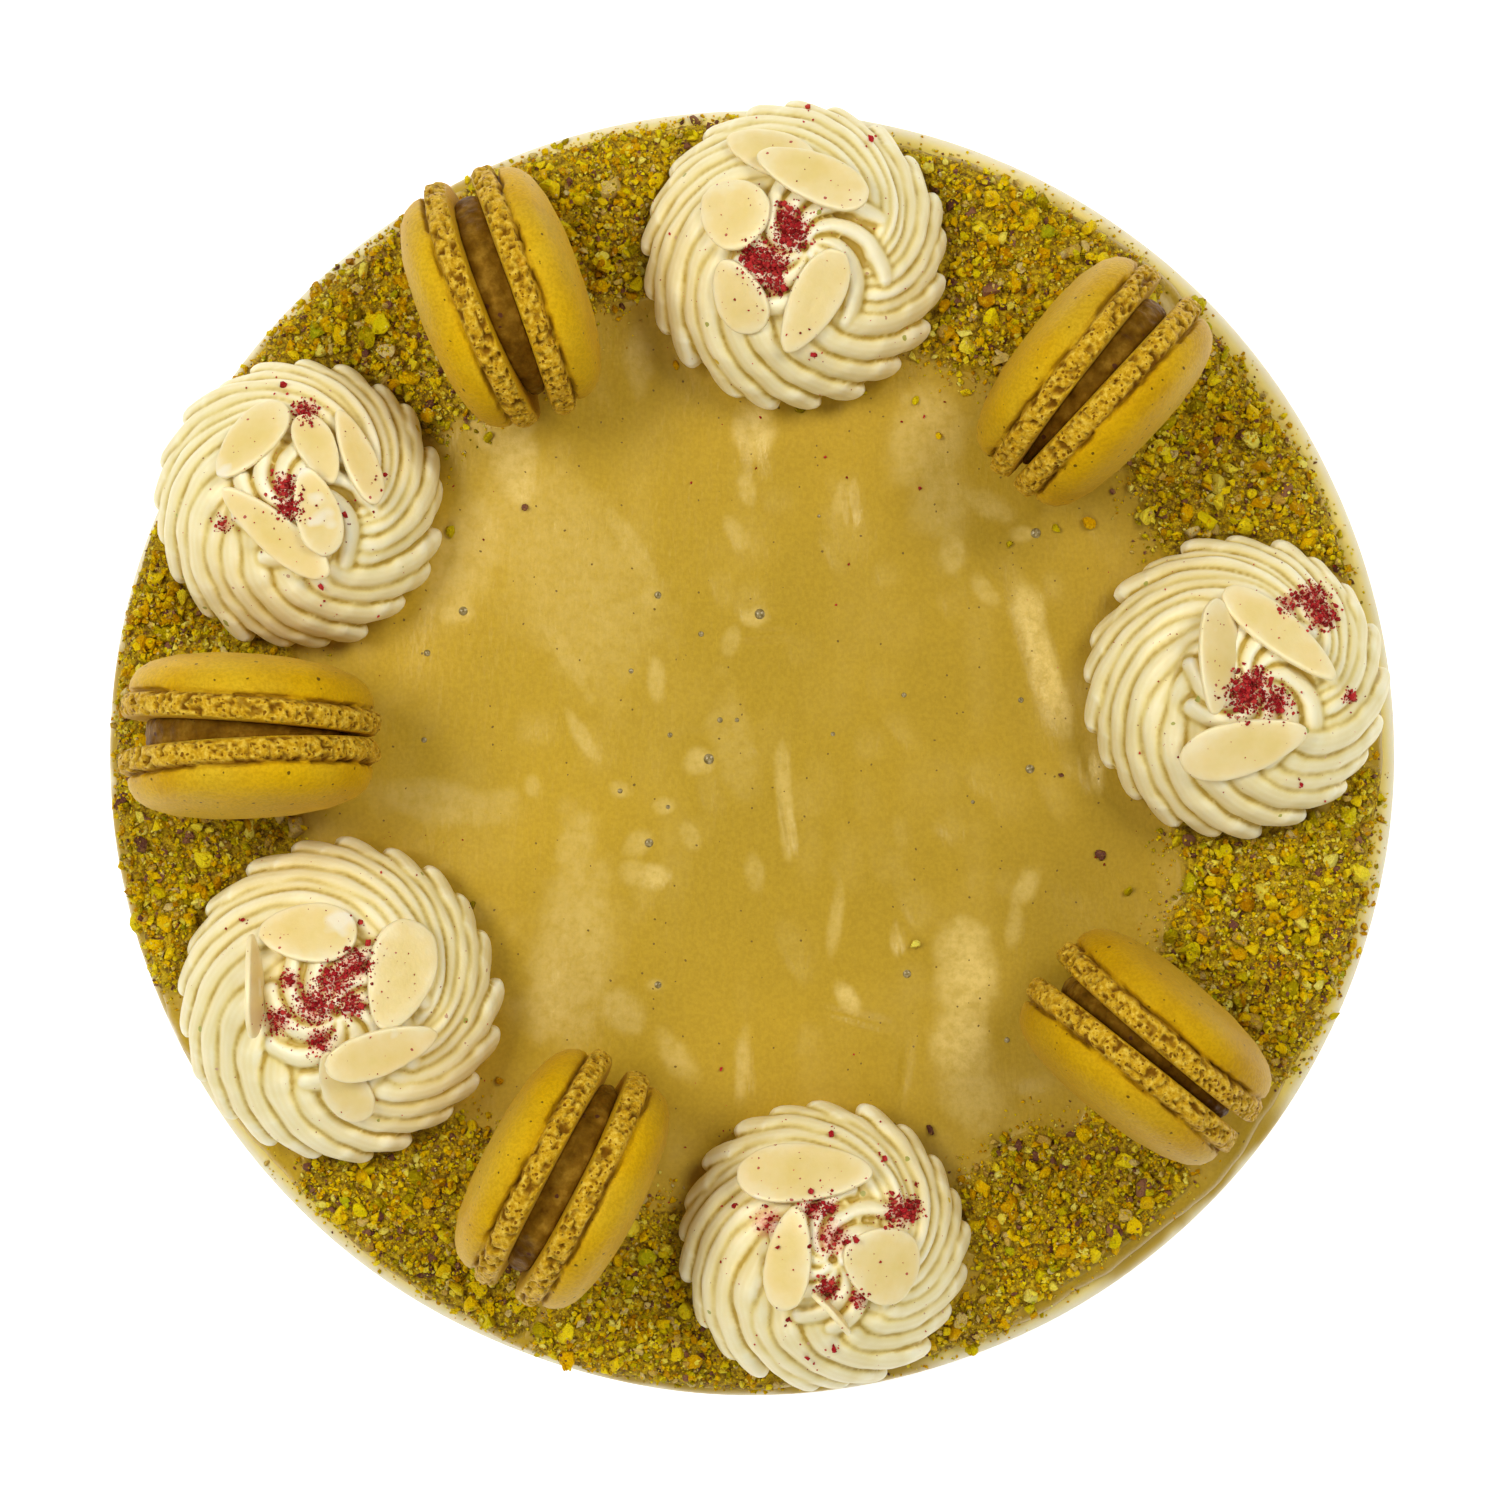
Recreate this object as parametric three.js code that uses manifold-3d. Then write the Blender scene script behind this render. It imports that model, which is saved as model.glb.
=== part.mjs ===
// A whole uncut cheesecake, 23 cm across, seen and modelled with its toppings in place.
// Millimetres, +Z up, origin at the middle of the flat bottom, +X to the right and +Y away
// from the viewer of the plan.
import * as THREE from "three";
import { mergeVertices } from "three/addons/utils/BufferGeometryUtils.js";
import Module from "manifold-3d";

const wasm = await Module();
wasm.setup();

// Driving dimensions
const CAKE_RADIUS = 115;
const BODY_HEIGHT = 52;
const SHOULDER = 3;
const GAP = 0.3;
const GLAZE_THICKNESS = 3.7;
const GLAZE_EDGE = 112.3;
const ROSETTE_HEIGHT = 27;
const ROSETTE_RIDGES = 20;
const MACARON_RADIUS = 22.5;
const SHELL_THICKNESS = 12.5;
const FOOT_THICKNESS = 4.4;
const FILLING_RADIUS = 17.8;
const MACARON_SINK = 1.6;
const FLAKE_THICKNESS = 1;

// Levels worked out from them
const GLAZE_BOTTOM = BODY_HEIGHT + GAP;
const GLAZE_TOP = GLAZE_BOTTOM + GLAZE_THICKNESS;
const ROSETTE_BASE = GLAZE_TOP + GAP;
const MACARON_MIDDLE = GLAZE_TOP - MACARON_SINK + MACARON_RADIUS;

// Where each piped rosette stands, its radius, and the side where its ridges wrap furthest
const ROSETTES = [
  { x: 7.6, y: 87.7, radius: 27.3, wrapSide: 170 },
  { x: 85.2, y: 11.8, radius: 27.0, wrapSide: 150 },
  { x: 12.5, y: -87.0, radius: 25.8, wrapSide: 110 },
  { x: -72.7, y: -43.6, radius: 28.7, wrapSide: 60 },
  { x: -79.8, y: 43.9, radius: 25.8, wrapSide: 200 },
];

// Where each macaron stands, the heading of its disc, the gap between its shells, how far
// they open outwards (yaw) and upwards (spread), and how far the whole leans, in degrees
const MACARONS = [
  { x: -87.2, y: 2.9, heading: 179.5, gap: 3.2, yaw: 7.2, spread: -1, lean: -3.4 },
  { x: -43.2, y: 79.0, heading: 110.3, gap: 3.4, yaw: 1.7, spread: 6, lean: 1.9 },
  { x: 58.9, y: 64.1, heading: 49.7, gap: 2.9, yaw: 5.2, spread: 2.2, lean: 1 },
  { x: 68.3, y: -51.1, heading: -39.4, gap: 3.3, yaw: -1.7, spread: -3.7, lean: -1 },
  { x: -32.8, y: -73.7, heading: 242.5, gap: 3.3, yaw: 0.5, spread: 5.6, lean: 0.5 },
];

// Almond flakes by rosette: place, heading of the long side, length, width, and for those
// that stand in the cream their roll about the long side and how deep they are pressed in.
// A flake that lies on another comes after it.
const FLAKES = [
  { on: 0, x: 3.1, y: 104.5, heading: -38, length: 17, width: 8 },
  { on: 0, x: 10.5, y: 99.6, heading: -27, length: 20.4, width: 8.1 },
  { on: 0, x: -3.4, y: 93.5, heading: -35, length: 13.6, width: 11.6 },
  { on: 0, x: -2.3, y: 78.9, heading: -70, length: 13.5, width: 9 },
  { on: 0, x: 10.6, y: 77.9, heading: 67, length: 19.7, width: 8.5 },
  { on: 1, x: 80.2, y: 16.7, heading: 90, length: 19.9, width: 8, roll: 50, sink: 2.2 },
  { on: 1, x: 91.3, y: 20.8, heading: -40, length: 23.8, width: 7.6 },
  { on: 1, x: 84.9, y: 0.9, heading: 19, length: 21.8, width: 9.8 },
  { on: 2, x: 9.1, y: -72.7, heading: -4, length: 23.2, width: 10.9 },
  { on: 2, x: 6.3, y: -87.1, heading: 81, length: 17.8, width: 7.8 },
  { on: 2, x: 22.4, y: -88.3, heading: -20, length: 14.7, width: 12.6 },
  { on: 2, x: 13.6, y: -96.6, heading: -53, length: 10, width: 7, roll: 80, sink: 3.6 },
  { on: 3, x: -77, y: -31, heading: -8, length: 17.1, width: 10.5 },
  { on: 3, x: -86.3, y: -40.2, heading: -84, length: 17.5, width: 8, roll: 75, sink: 3.2 },
  { on: 3, x: -60.8, y: -38.3, heading: 67, length: 19.7, width: 11.5 },
  { on: 3, x: -70.5, y: -58, heading: -68, length: 15, width: 7.6 },
  { on: 3, x: -63.8, y: -51.6, heading: 12, length: 19.8, width: 8 },
  { on: 4, x: -86.7, y: 54.3, heading: 55, length: 16.6, width: 8.9 },
  { on: 4, x: -75.1, y: 52.7, heading: -70, length: 13.5, width: 6.6 },
  { on: 4, x: -68.1, y: 51.4, heading: -72, length: 17.3, width: 6 },
  { on: 4, x: -82.3, y: 37.9, heading: -42, length: 23, width: 6.9 },
  { on: 4, x: -74.8, y: 41.5, heading: -72, length: 15.4, width: 7.5 },
];

// Clumps of dried red berry on the rosettes: place and size
const BERRY_CLUMPS = [
  { on: 0, x: 6.9, y: 90.7, size: 1.7 },
  { on: 0, x: 4.5, y: 84.2, size: 1.5 },
  { on: 0, x: 11, y: 70.7, size: 1.1 },
  { on: 1, x: 85.8, y: 10.2, size: 1.9 },
  { on: 1, x: 97.6, y: 25.8, size: 1.3 },
  { on: 1, x: 97.5, y: -5.5, size: 0.9 },
  { on: 1, x: 106.5, y: 10.2, size: 0.9 },
  { on: 2, x: 15.5, y: -82.2, size: 1.3 },
  { on: 2, x: 25.8, y: -79.2, size: 1.5 },
  { on: 2, x: 14.4, y: -105.6, size: 1 },
  { on: 3, x: -70.3, y: -40.4, size: 1.7 },
  { on: 3, x: -76.6, y: -43.4, size: 1.6 },
  { on: 3, x: -75.1, y: -49.6, size: 1.4 },
  { on: 3, x: -67.9, y: -30.1, size: 0.9 },
  { on: 4, x: -78.2, y: 60.9, size: 1.2 },
  { on: 4, x: -81.2, y: 44.3, size: 1.4 },
  { on: 4, x: -64.9, y: 49.2, size: 0.9 },
];

// Banks of pistachio crumb between the toppings: the middle and half width of each in
// degrees round the cake, its inner and outer radius, its depth and how many larger crumbs
const CRUMB_BANKS = [
  { middle: 30, half: 13, inner: 79, outer: 112, depth: 2.6, crumbs: 8 },
  { middle: 63, half: 13, inner: 75, outer: 112, depth: 2.8, crumbs: 9 },
  { middle: 103, half: 12, inner: 82, outer: 113, depth: 2.6, crumbs: 7 },
  { middle: 132, half: 11, inner: 77, outer: 113, depth: 2.2, crumbs: 6 },
  { middle: 166, half: 8, inner: 80, outer: 114, depth: 2.2, crumbs: 5 },
  { middle: 180, half: 9, inner: 109, outer: 114, depth: 1.2, crumbs: 2 },
  { middle: 195, half: 9, inner: 80, outer: 114, depth: 2, crumbs: 4 },
  { middle: 234, half: 12, inner: 78, outer: 111, depth: 1.8, crumbs: 6 },
  { middle: 261, half: 9, inner: 82, outer: 112, depth: 1.4, crumbs: 4 },
  { middle: 306, half: 13, inner: 82, outer: 107, depth: 2.4, crumbs: 7 },
  { middle: 343, half: 13, inner: 76, outer: 112, depth: 2.4, crumbs: 7 },
];
const CRUMB_LARGEST = 2.3;
const CRUMB_SMALLEST = 1.3;

const degrees = THREE.MathUtils.degToRad;

// A repeatable random draw between 0 and 1
function seededDraw(seed) {
  let state = seed;
  return () => {
    state = (state * 1664525 + 1013904223) % 4294967296;
    return state / 4294967296;
  };
}

// 0 below a border, 1 past it, smooth between
function ease(value) {
  const held = THREE.MathUtils.clamp(value, 0, 1);
  return held * held * (3 - 2 * held);
}

// A closed skin over rings of points that run round the same way, with a fan at each end
function closedSkin(firstPoint, rings, lastPoint) {
  const points = [firstPoint, ...rings.flat(), lastPoint];
  const count = rings[0].length;
  const at = (ring, i) => 1 + ring * count + (i % count);
  const last = rings.length - 1;
  const faces = [];
  for (let i = 0; i < count; i++) {
    faces.push(0, at(0, i + 1), at(0, i));
    for (let ring = 0; ring < last; ring++) {
      faces.push(at(ring, i), at(ring, i + 1), at(ring + 1, i + 1));
      faces.push(at(ring, i), at(ring + 1, i + 1), at(ring + 1, i));
    }
    faces.push(at(last, i), at(last, i + 1), points.length - 1);
  }
  const geometry = new THREE.BufferGeometry().setFromPoints(points);
  geometry.setIndex(faces);
  return geometry;
}

// A ring of points at even angles, each placed by its angle in radians
function ringOf(count, place) {
  return Array.from({ length: count }, (_, i) => place((2 * Math.PI * i) / count, i));
}

// Turning a geometry into a solid that can be joined and cut, and back
function solidFrom(geometry, matrix = new THREE.Matrix4()) {
  const bare = geometry.clone().applyMatrix4(matrix);
  bare.deleteAttribute("normal");
  bare.deleteAttribute("uv");
  const merged = mergeVertices(bare, 1e-3);
  return new wasm.Manifold(
    new wasm.Mesh({
      numProp: 3,
      vertProperties: merged.attributes.position.array,
      triVerts: new Uint32Array(merged.index.array),
    }),
  );
}

function geometryFrom(solid) {
  const mesh = solid.getMesh();
  const geometry = new THREE.BufferGeometry();
  geometry.setAttribute("position", new THREE.BufferAttribute(mesh.vertProperties, 3));
  geometry.setIndex(new THREE.BufferAttribute(mesh.triVerts, 1));
  return geometry;
}

// The largest body of a solid, which leaves out any loose scrap
function largestBody(solid) {
  return solid.decompose().reduce((best, body) => (body.volume() > best.volume() ? body : best));
}

const cheesecake = new THREE.Group();

function addNode(name, geometry, finish, parent = cheesecake) {
  geometry.computeVertexNormals();
  const mesh = new THREE.Mesh(geometry, finish);
  mesh.name = name;
  parent.add(mesh);
  return mesh;
}

const finishes = {
  body: new THREE.MeshStandardMaterial({ color: 0xf2e6c4, roughness: 0.6, metalness: 0 }),
  glaze: new THREE.MeshStandardMaterial({ color: 0xc19e38, roughness: 0.35, metalness: 0 }),
  cream: new THREE.MeshStandardMaterial({ color: 0xecdc96, roughness: 0.5, metalness: 0 }),
  shell: new THREE.MeshStandardMaterial({ color: 0xc8a01c, roughness: 0.7, metalness: 0 }),
  filling: new THREE.MeshStandardMaterial({ color: 0x8f6318, roughness: 0.5, metalness: 0 }),
  almond: new THREE.MeshStandardMaterial({ color: 0xeacf95, roughness: 0.5, metalness: 0 }),
};

// The cheesecake itself: a plain drum with a rounded shoulder
function bodyGeometry() {
  const profile = [new THREE.Vector2(0, 0), new THREE.Vector2(CAKE_RADIUS, 0)];
  const shoulderSteps = 4;
  for (let i = 0; i <= shoulderSteps; i++) {
    const turn = (Math.PI / 2) * (i / shoulderSteps);
    profile.push(
      new THREE.Vector2(
        CAKE_RADIUS - SHOULDER + SHOULDER * Math.cos(turn),
        BODY_HEIGHT - SHOULDER + SHOULDER * Math.sin(turn),
      ),
    );
  }
  profile.push(new THREE.Vector2(0, BODY_HEIGHT));
  return new THREE.LatheGeometry(profile, 64).rotateX(Math.PI / 2);
}

// Glaze: how far its uneven edge reaches in each direction
function glazeReach(angle) {
  const wideRimSide = degrees(25);
  const notchAt = degrees(223);
  const fromNotch = Math.atan2(Math.sin(angle - notchAt), Math.cos(angle - notchAt));
  const notch = 1.3 * Math.exp(-((fromNotch / degrees(12)) ** 2));
  const lobes = 0.45 * Math.sin(7 * angle + 1.1) + 0.3 * Math.sin(16 * angle + 0.4);
  return GLAZE_EDGE - 1.1 * Math.cos(angle - wideRimSide) + lobes - notch;
}

// Distance in plan from a point to the nearest topping that stands on the glaze
function clearance(x, y) {
  const fromRosettes = ROSETTES.map((r) => Math.hypot(x - r.x, y - r.y) - r.radius);
  const fromMacarons = MACARONS.map((m) => {
    const turn = degrees(m.heading);
    const along = (x - m.x) * Math.cos(turn) + (y - m.y) * Math.sin(turn);
    const across = (y - m.y) * Math.cos(turn) - (x - m.x) * Math.sin(turn);
    const footprintLength = 14;
    const footprintWidth = 10.5;
    const past = Math.max(Math.abs(along) - footprintLength, 0);
    const beside = Math.max(Math.abs(across) - footprintWidth, 0);
    return Math.hypot(past, beside);
  });
  return Math.min(...fromRosettes, ...fromMacarons);
}

// Height of the crumb banks above the glaze
function bankHeight(x, y) {
  const radius = Math.hypot(x, y);
  const angle = Math.atan2(y, x);
  let height = 0;
  for (const bank of CRUMB_BANKS) {
    const off = angle - degrees(bank.middle);
    const aside = Math.abs(Math.atan2(Math.sin(off), Math.cos(off)));
    const fromSide = (degrees(bank.half) - aside) * radius;
    const inward = ease((radius - bank.inner) / 6);
    const outward = ease((bank.outer - radius) / 4);
    height = Math.max(height, bank.depth * ease(fromSide / 5) * inward * outward);
  }
  const uneven = 0.75 + 0.25 * Math.sin(x * 0.61) * Math.cos(y * 0.53);
  return height * uneven * ease(clearance(x, y) / 2.5);
}

function glazeSheetGeometry() {
  const columns = 56;
  const topRadii = [108, 102, 96, 90, 83, 74];
  const lip = [
    { inset: 3, z: GLAZE_BOTTOM },
    { inset: 0.2, z: GLAZE_BOTTOM + 0.9 },
    { inset: 0.1, z: GLAZE_TOP - 1.2 },
    { inset: 1.4, z: GLAZE_TOP - 0.1 },
  ];
  const lipRings = lip.map(({ inset, z }) =>
    ringOf(columns, (angle) => {
      const reach = glazeReach(angle) - inset;
      return new THREE.Vector3(reach * Math.cos(angle), reach * Math.sin(angle), z);
    }),
  );
  const topRings = topRadii.map((radius) =>
    ringOf(columns, (angle) => {
      const x = radius * Math.cos(angle);
      const y = radius * Math.sin(angle);
      return new THREE.Vector3(x, y, GLAZE_TOP + bankHeight(x, y));
    }),
  );
  const below = new THREE.Vector3(0, 0, GLAZE_BOTTOM);
  const above = new THREE.Vector3(0, 0, GLAZE_TOP);
  return closedSkin(below, [...lipRings, ...topRings], above);
}

// One crumb: a rough lump, stretched and turned by the draw
function crumbMatrix(place, size, draw) {
  const turn = new THREE.Quaternion().setFromEuler(
    new THREE.Euler(draw() * Math.PI, draw() * Math.PI, draw() * Math.PI),
  );
  const stretch = new THREE.Vector3(1, 0.7 + 0.3 * draw(), 0.55 + 0.35 * draw());
  return new THREE.Matrix4().compose(place, turn, stretch.multiplyScalar(size));
}

// The larger crumbs of each bank, spread evenly by taking the clearest of several draws
function crumbSolids() {
  const draw = seededDraw(41);
  const lump = new THREE.IcosahedronGeometry(1, 0);
  const placed = [];
  const solids = [];
  for (const bank of CRUMB_BANKS) {
    for (let i = 0; i < bank.crumbs; i++) {
      const shrink = i / bank.crumbs;
      const size = THREE.MathUtils.lerp(CRUMB_LARGEST, CRUMB_SMALLEST, shrink);
      let best = null;
      for (let tries = 0; tries < 24; tries++) {
        const angle = degrees(bank.middle + bank.half * 0.9 * (2 * draw() - 1));
        const span = bank.outer - bank.inner - 2 * size;
        const radius = bank.inner + size + span * draw();
        const x = radius * Math.cos(angle);
        const y = radius * Math.sin(angle);
        const room = Math.min(
          8 * (clearance(x, y) - size - 2 * GAP),
          ...placed.map((other) => Math.hypot(other.x - x, other.y - y) - other.size - size),
        );
        if (!best || room > best.room) best = { x, y, size, room };
      }
      if (best.room < 0.4) continue;
      placed.push(best);
      const height = GLAZE_TOP + bankHeight(best.x, best.y) + 0.1 * size;
      const place = new THREE.Vector3(best.x, best.y, height);
      solids.push(solidFrom(lump, crumbMatrix(place, size, draw)));
    }
  }
  return solids;
}

// A macaron shell, flat inner face at 0 and dome at SHELL_THICKNESS, with the bulging foot
function shellGeometry(grow = 0) {
  const domeRadius = MACARON_RADIUS - 1.6;
  const profile = [
    [0, -grow],
    [MACARON_RADIUS - 0.7 + grow, -grow],
    [MACARON_RADIUS + grow, 0.9],
    [MACARON_RADIUS - 0.2 + grow, FOOT_THICKNESS - 0.5],
    [domeRadius + grow, FOOT_THICKNESS + 0.5 + grow],
    [domeRadius - 1.4 + grow, SHELL_THICKNESS - 4.1 + grow],
    [domeRadius - 7 + grow, SHELL_THICKNESS - 1.2 + grow],
    [0, SHELL_THICKNESS + grow],
  ];
  const points = profile.map(([radius, height]) => new THREE.Vector2(radius, height));
  return new THREE.LatheGeometry(points, 20);
}

// Filling: a disc whose two faces follow the inner faces of the shells
function fillingGeometry(macaron) {
  const halfYaw = degrees(macaron.yaw) / 2;
  const halfSpread = degrees(macaron.spread) / 2;
  const face = (side) => {
    const turn = new THREE.Euler(-side * halfSpread, 0, side * halfYaw);
    const normal = new THREE.Vector3(0, side, 0).applyEuler(turn);
    return (x, z) => side * (macaron.gap / 2) + (-GAP - normal.x * x - normal.z * z) / normal.y;
  };
  const faces = { near: face(-1), far: face(1) };
  const columns = 16;
  const bulge = 0.5;
  const rimOf = (height, radius) =>
    ringOf(columns, (angle) => {
      const x = radius * Math.cos(angle);
      const z = -radius * Math.sin(angle);
      return new THREE.Vector3(x, height(x, z), z);
    });
  const middle = (x, z) => (faces.near(x, z) + faces.far(x, z)) / 2;
  return closedSkin(
    new THREE.Vector3(0, faces.near(0, 0), 0),
    [
      rimOf(faces.near, FILLING_RADIUS - bulge),
      rimOf(middle, FILLING_RADIUS),
      rimOf(faces.far, FILLING_RADIUS - bulge),
    ],
    new THREE.Vector3(0, faces.far(0, 0), 0),
  );
}

// A macaron stands on edge: its disc is upright and runs along its heading
function addMacaron(macaron, name) {
  const group = new THREE.Group();
  group.position.set(macaron.x, macaron.y, MACARON_MIDDLE);
  group.rotation.set(-degrees(macaron.lean), 0, degrees(macaron.heading), "ZYX");
  cheesecake.add(group);
  const halfYaw = degrees(macaron.yaw) / 2;
  const halfSpread = degrees(macaron.spread) / 2;
  const shells = [
    { part: "shell_a", side: 1, flip: 0 },
    { part: "shell_b", side: -1, flip: Math.PI },
  ];
  const meshes = shells.map(({ part, side, flip }) => {
    const shell = addNode(`${name}_${part}`, shellGeometry(), finishes.shell, group);
    shell.position.y = (side * macaron.gap) / 2;
    shell.rotation.set(-side * halfSpread, 0, flip + side * halfYaw);
    return shell;
  });
  addNode(`${name}_filling`, fillingGeometry(macaron), finishes.filling, group);
  return meshes;
}

// Rosette: its side view as fractions of radius and height, outside the crests
const ROSETTE_PROFILE = [
  [0.9, 0],
  [0.99, 0.1],
  [1, 0.21],
  [0.95, 0.37],
  [0.85, 0.53],
  [0.7, 0.69],
  [0.51, 0.83],
  [0.31, 0.93],
  [0.12, 0.985],
];

// Level of the crests above a point at a distance from the rosette's middle
function crestLevel(rosette, distance) {
  const upper = ROSETTE_PROFILE.slice(2);
  const reach = distance / rosette.radius;
  if (reach > 1) return ROSETTE_BASE;
  const tip = [0, 1];
  const steps = [...upper, tip];
  const outer = steps.findIndex(([radius], i) => i + 1 < steps.length && reach >= steps[i + 1][0]);
  const [outerRadius, outerHeight] = steps[outer];
  const [innerRadius, innerHeight] = steps[outer + 1];
  const share = (outerRadius - reach) / (outerRadius - innerRadius);
  const height = THREE.MathUtils.lerp(outerHeight, innerHeight, share);
  return ROSETTE_BASE + ROSETTE_HEIGHT * height;
}

// The ridges turn clockwise as they run inwards, and further on one side than on the other
function rosetteGeometry(rosette) {
  const columns = 2 * ROSETTE_RIDGES;
  const wrap = degrees(150);
  const wrapSwing = degrees(40);
  const rings = ROSETTE_PROFILE.map(([reach, rise]) =>
    ringOf(columns, (start, i) => {
      const wrapHere = wrap + wrapSwing * Math.cos(start - degrees(rosette.wrapSide));
      const angle = start - wrapHere * (1 - reach) * (rise > 0.3 ? 1 : 0);
      const ridgeSpacing = (2 * Math.PI * reach * rosette.radius) / ROSETTE_RIDGES;
      const groove = i % 2 ? Math.min(0.26 * ridgeSpacing, 2) : 0;
      const radius = reach * rosette.radius - groove * (1 - rise * 0.8);
      return new THREE.Vector3(
        rosette.x + radius * Math.cos(angle),
        rosette.y + radius * Math.sin(angle),
        ROSETTE_BASE + ROSETTE_HEIGHT * rise - groove * rise,
      );
    }),
  );
  const below = new THREE.Vector3(rosette.x, rosette.y, ROSETTE_BASE);
  const peak = new THREE.Vector3(rosette.x, rosette.y, ROSETTE_BASE + ROSETTE_HEIGHT);
  return closedSkin(below, rings, peak);
}

// Almond flake: an egg-shaped slice, bowed down a little towards its ends
function flakeGeometry(flake, grow = 0) {
  const outlinePoints = 12;
  const bow = 0.5;
  const halfLength = flake.length / 2 + grow;
  const halfWidth = flake.width / 2 + grow;
  const rim = (z) =>
    ringOf(outlinePoints, (angle) => {
      const along = Math.cos(angle);
      const across = Math.sin(angle) * (1 - 0.22 * along);
      return new THREE.Vector3(halfLength * along, halfWidth * across, z - bow * along * along);
    });
  const half = FLAKE_THICKNESS / 2 + grow;
  const below = new THREE.Vector3(0, 0, -half);
  const above = new THREE.Vector3(0, 0, half);
  return closedSkin(below, [rim(-half), rim(half)], above);
}

// The way a flake lies: flat on the slope of the crests, or rolled about its long side
function flakeTurn(flake) {
  const rosette = ROSETTES[flake.on];
  const away = new THREE.Vector2(flake.x - rosette.x, flake.y - rosette.y);
  const distance = away.length();
  const step = 3;
  const inner = crestLevel(rosette, Math.max(distance - step, 0));
  const slope = (inner - crestLevel(rosette, distance + step)) / (2 * step);
  away.normalize().multiplyScalar(slope);
  const up = new THREE.Vector3(away.x, away.y, 1).normalize();
  const heading = degrees(flake.heading);
  const along = new THREE.Vector3(Math.cos(heading), Math.sin(heading), 0);
  along.addScaledVector(up, -along.dot(up)).normalize();
  const across = new THREE.Vector3().crossVectors(up, along);
  const lying = new THREE.Matrix4().makeBasis(along, across, up);
  const roll = new THREE.Matrix4().makeRotationX(degrees(flake.roll ?? 0));
  return lying.multiply(roll);
}

// Points on one face of a flake, used to find what it rests on
function facePoints(flake, side) {
  const shares = [1, 0.8, 0.6, 0.4, 0.2, 0];
  const positions = flakeGeometry(flake).attributes.position;
  const points = [];
  for (let i = 0; i < positions.count; i++) {
    const point = new THREE.Vector3().fromBufferAttribute(positions, i);
    if (Math.sign(point.z + 0.25) !== side) continue;
    const centre = new THREE.Vector3(0, 0, (side * FLAKE_THICKNESS) / 2);
    for (const share of shares) points.push(centre.clone().lerp(point, share));
  }
  return points;
}

// Top of a placed flake under a point, or nothing where it doesn't reach
function flakeTop(placedFlake, x, y) {
  const margin = 1;
  const matrix = placedFlake.matrix;
  const up = new THREE.Vector3().setFromMatrixColumn(matrix, 2);
  const middle = new THREE.Vector3().setFromMatrixPosition(matrix);
  const z = middle.z - (up.x * (x - middle.x) + up.y * (y - middle.y)) / up.z;
  const local = new THREE.Vector3(x, y, z).applyMatrix4(matrix.clone().invert());
  const along = local.x / (placedFlake.flake.length / 2 + margin);
  const across = local.y / (placedFlake.flake.width / 2 + margin);
  if (along * along + across * across > 1) return -Infinity;
  return z + FLAKE_THICKNESS / 2;
}

// Each flake comes down until it touches a crest or an earlier flake, less what it is
// pressed in
function placeFlakes() {
  const placed = [];
  for (const flake of FLAKES) {
    const rosette = ROSETTES[flake.on];
    const matrix = flakeTurn(flake);
    const neighbours = placed.filter((other) => other.flake.on === flake.on && !other.flake.roll);
    let level = 0;
    for (const point of [...facePoints(flake, -1), ...facePoints(flake, 1)]) {
      point.applyMatrix4(matrix);
      const x = flake.x + point.x;
      const y = flake.y + point.y;
      const crest = crestLevel(rosette, Math.hypot(x - rosette.x, y - rosette.y));
      const under = Math.max(crest, ...neighbours.map((other) => flakeTop(other, x, y)));
      level = Math.max(level, under + 1.4 * GAP - point.z);
    }
    matrix.setPosition(flake.x, flake.y, level - (flake.sink ?? 0));
    placed.push({ flake, matrix });
  }
  return placed;
}

const flakes = placeFlakes();

// Whether a clump of berry keeps clear of every flake in plan
function clearOfFlakes(clump) {
  return flakes.every(({ flake, matrix }) => {
    const local = new THREE.Vector3(clump.x, clump.y, 0);
    local.z = new THREE.Vector3().setFromMatrixPosition(matrix).z;
    local.applyMatrix4(matrix.clone().invert());
    const reach = clump.size + 2 * GAP;
    const along = local.x / (flake.length / 2 + reach);
    const across = local.y / (flake.width / 2 + reach);
    return along * along + across * across > 1;
  });
}

// Rosettes with their clumps of berry fused on, and slots where flakes are pressed in
function addRosette(rosette, index) {
  const draw = seededDraw(7 + index);
  const lump = new THREE.IcosahedronGeometry(1, 0);
  let solid = solidFrom(rosetteGeometry(rosette));
  for (const clump of BERRY_CLUMPS) {
    if (clump.on !== index || !clearOfFlakes(clump)) continue;
    const distance = Math.hypot(clump.x - rosette.x, clump.y - rosette.y);
    const level = crestLevel(rosette, distance) - 0.3 * clump.size;
    const place = new THREE.Vector3(clump.x, clump.y, level);
    solid = solid.add(solidFrom(lump, crumbMatrix(place, clump.size, draw)));
  }
  for (const { flake, matrix } of flakes) {
    if (flake.on !== index || !flake.roll) continue;
    solid = solid.subtract(solidFrom(flakeGeometry(flake, GAP), matrix));
  }
  addNode(`cream_rosette_${index + 1}`, geometryFrom(largestBody(solid)), finishes.cream);
}

addNode("cheesecake_body", bodyGeometry(), finishes.body);

const shells = MACARONS.flatMap((macaron, i) => addMacaron(macaron, `macaron_${i + 1}`));
cheesecake.updateMatrixWorld(true);

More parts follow.
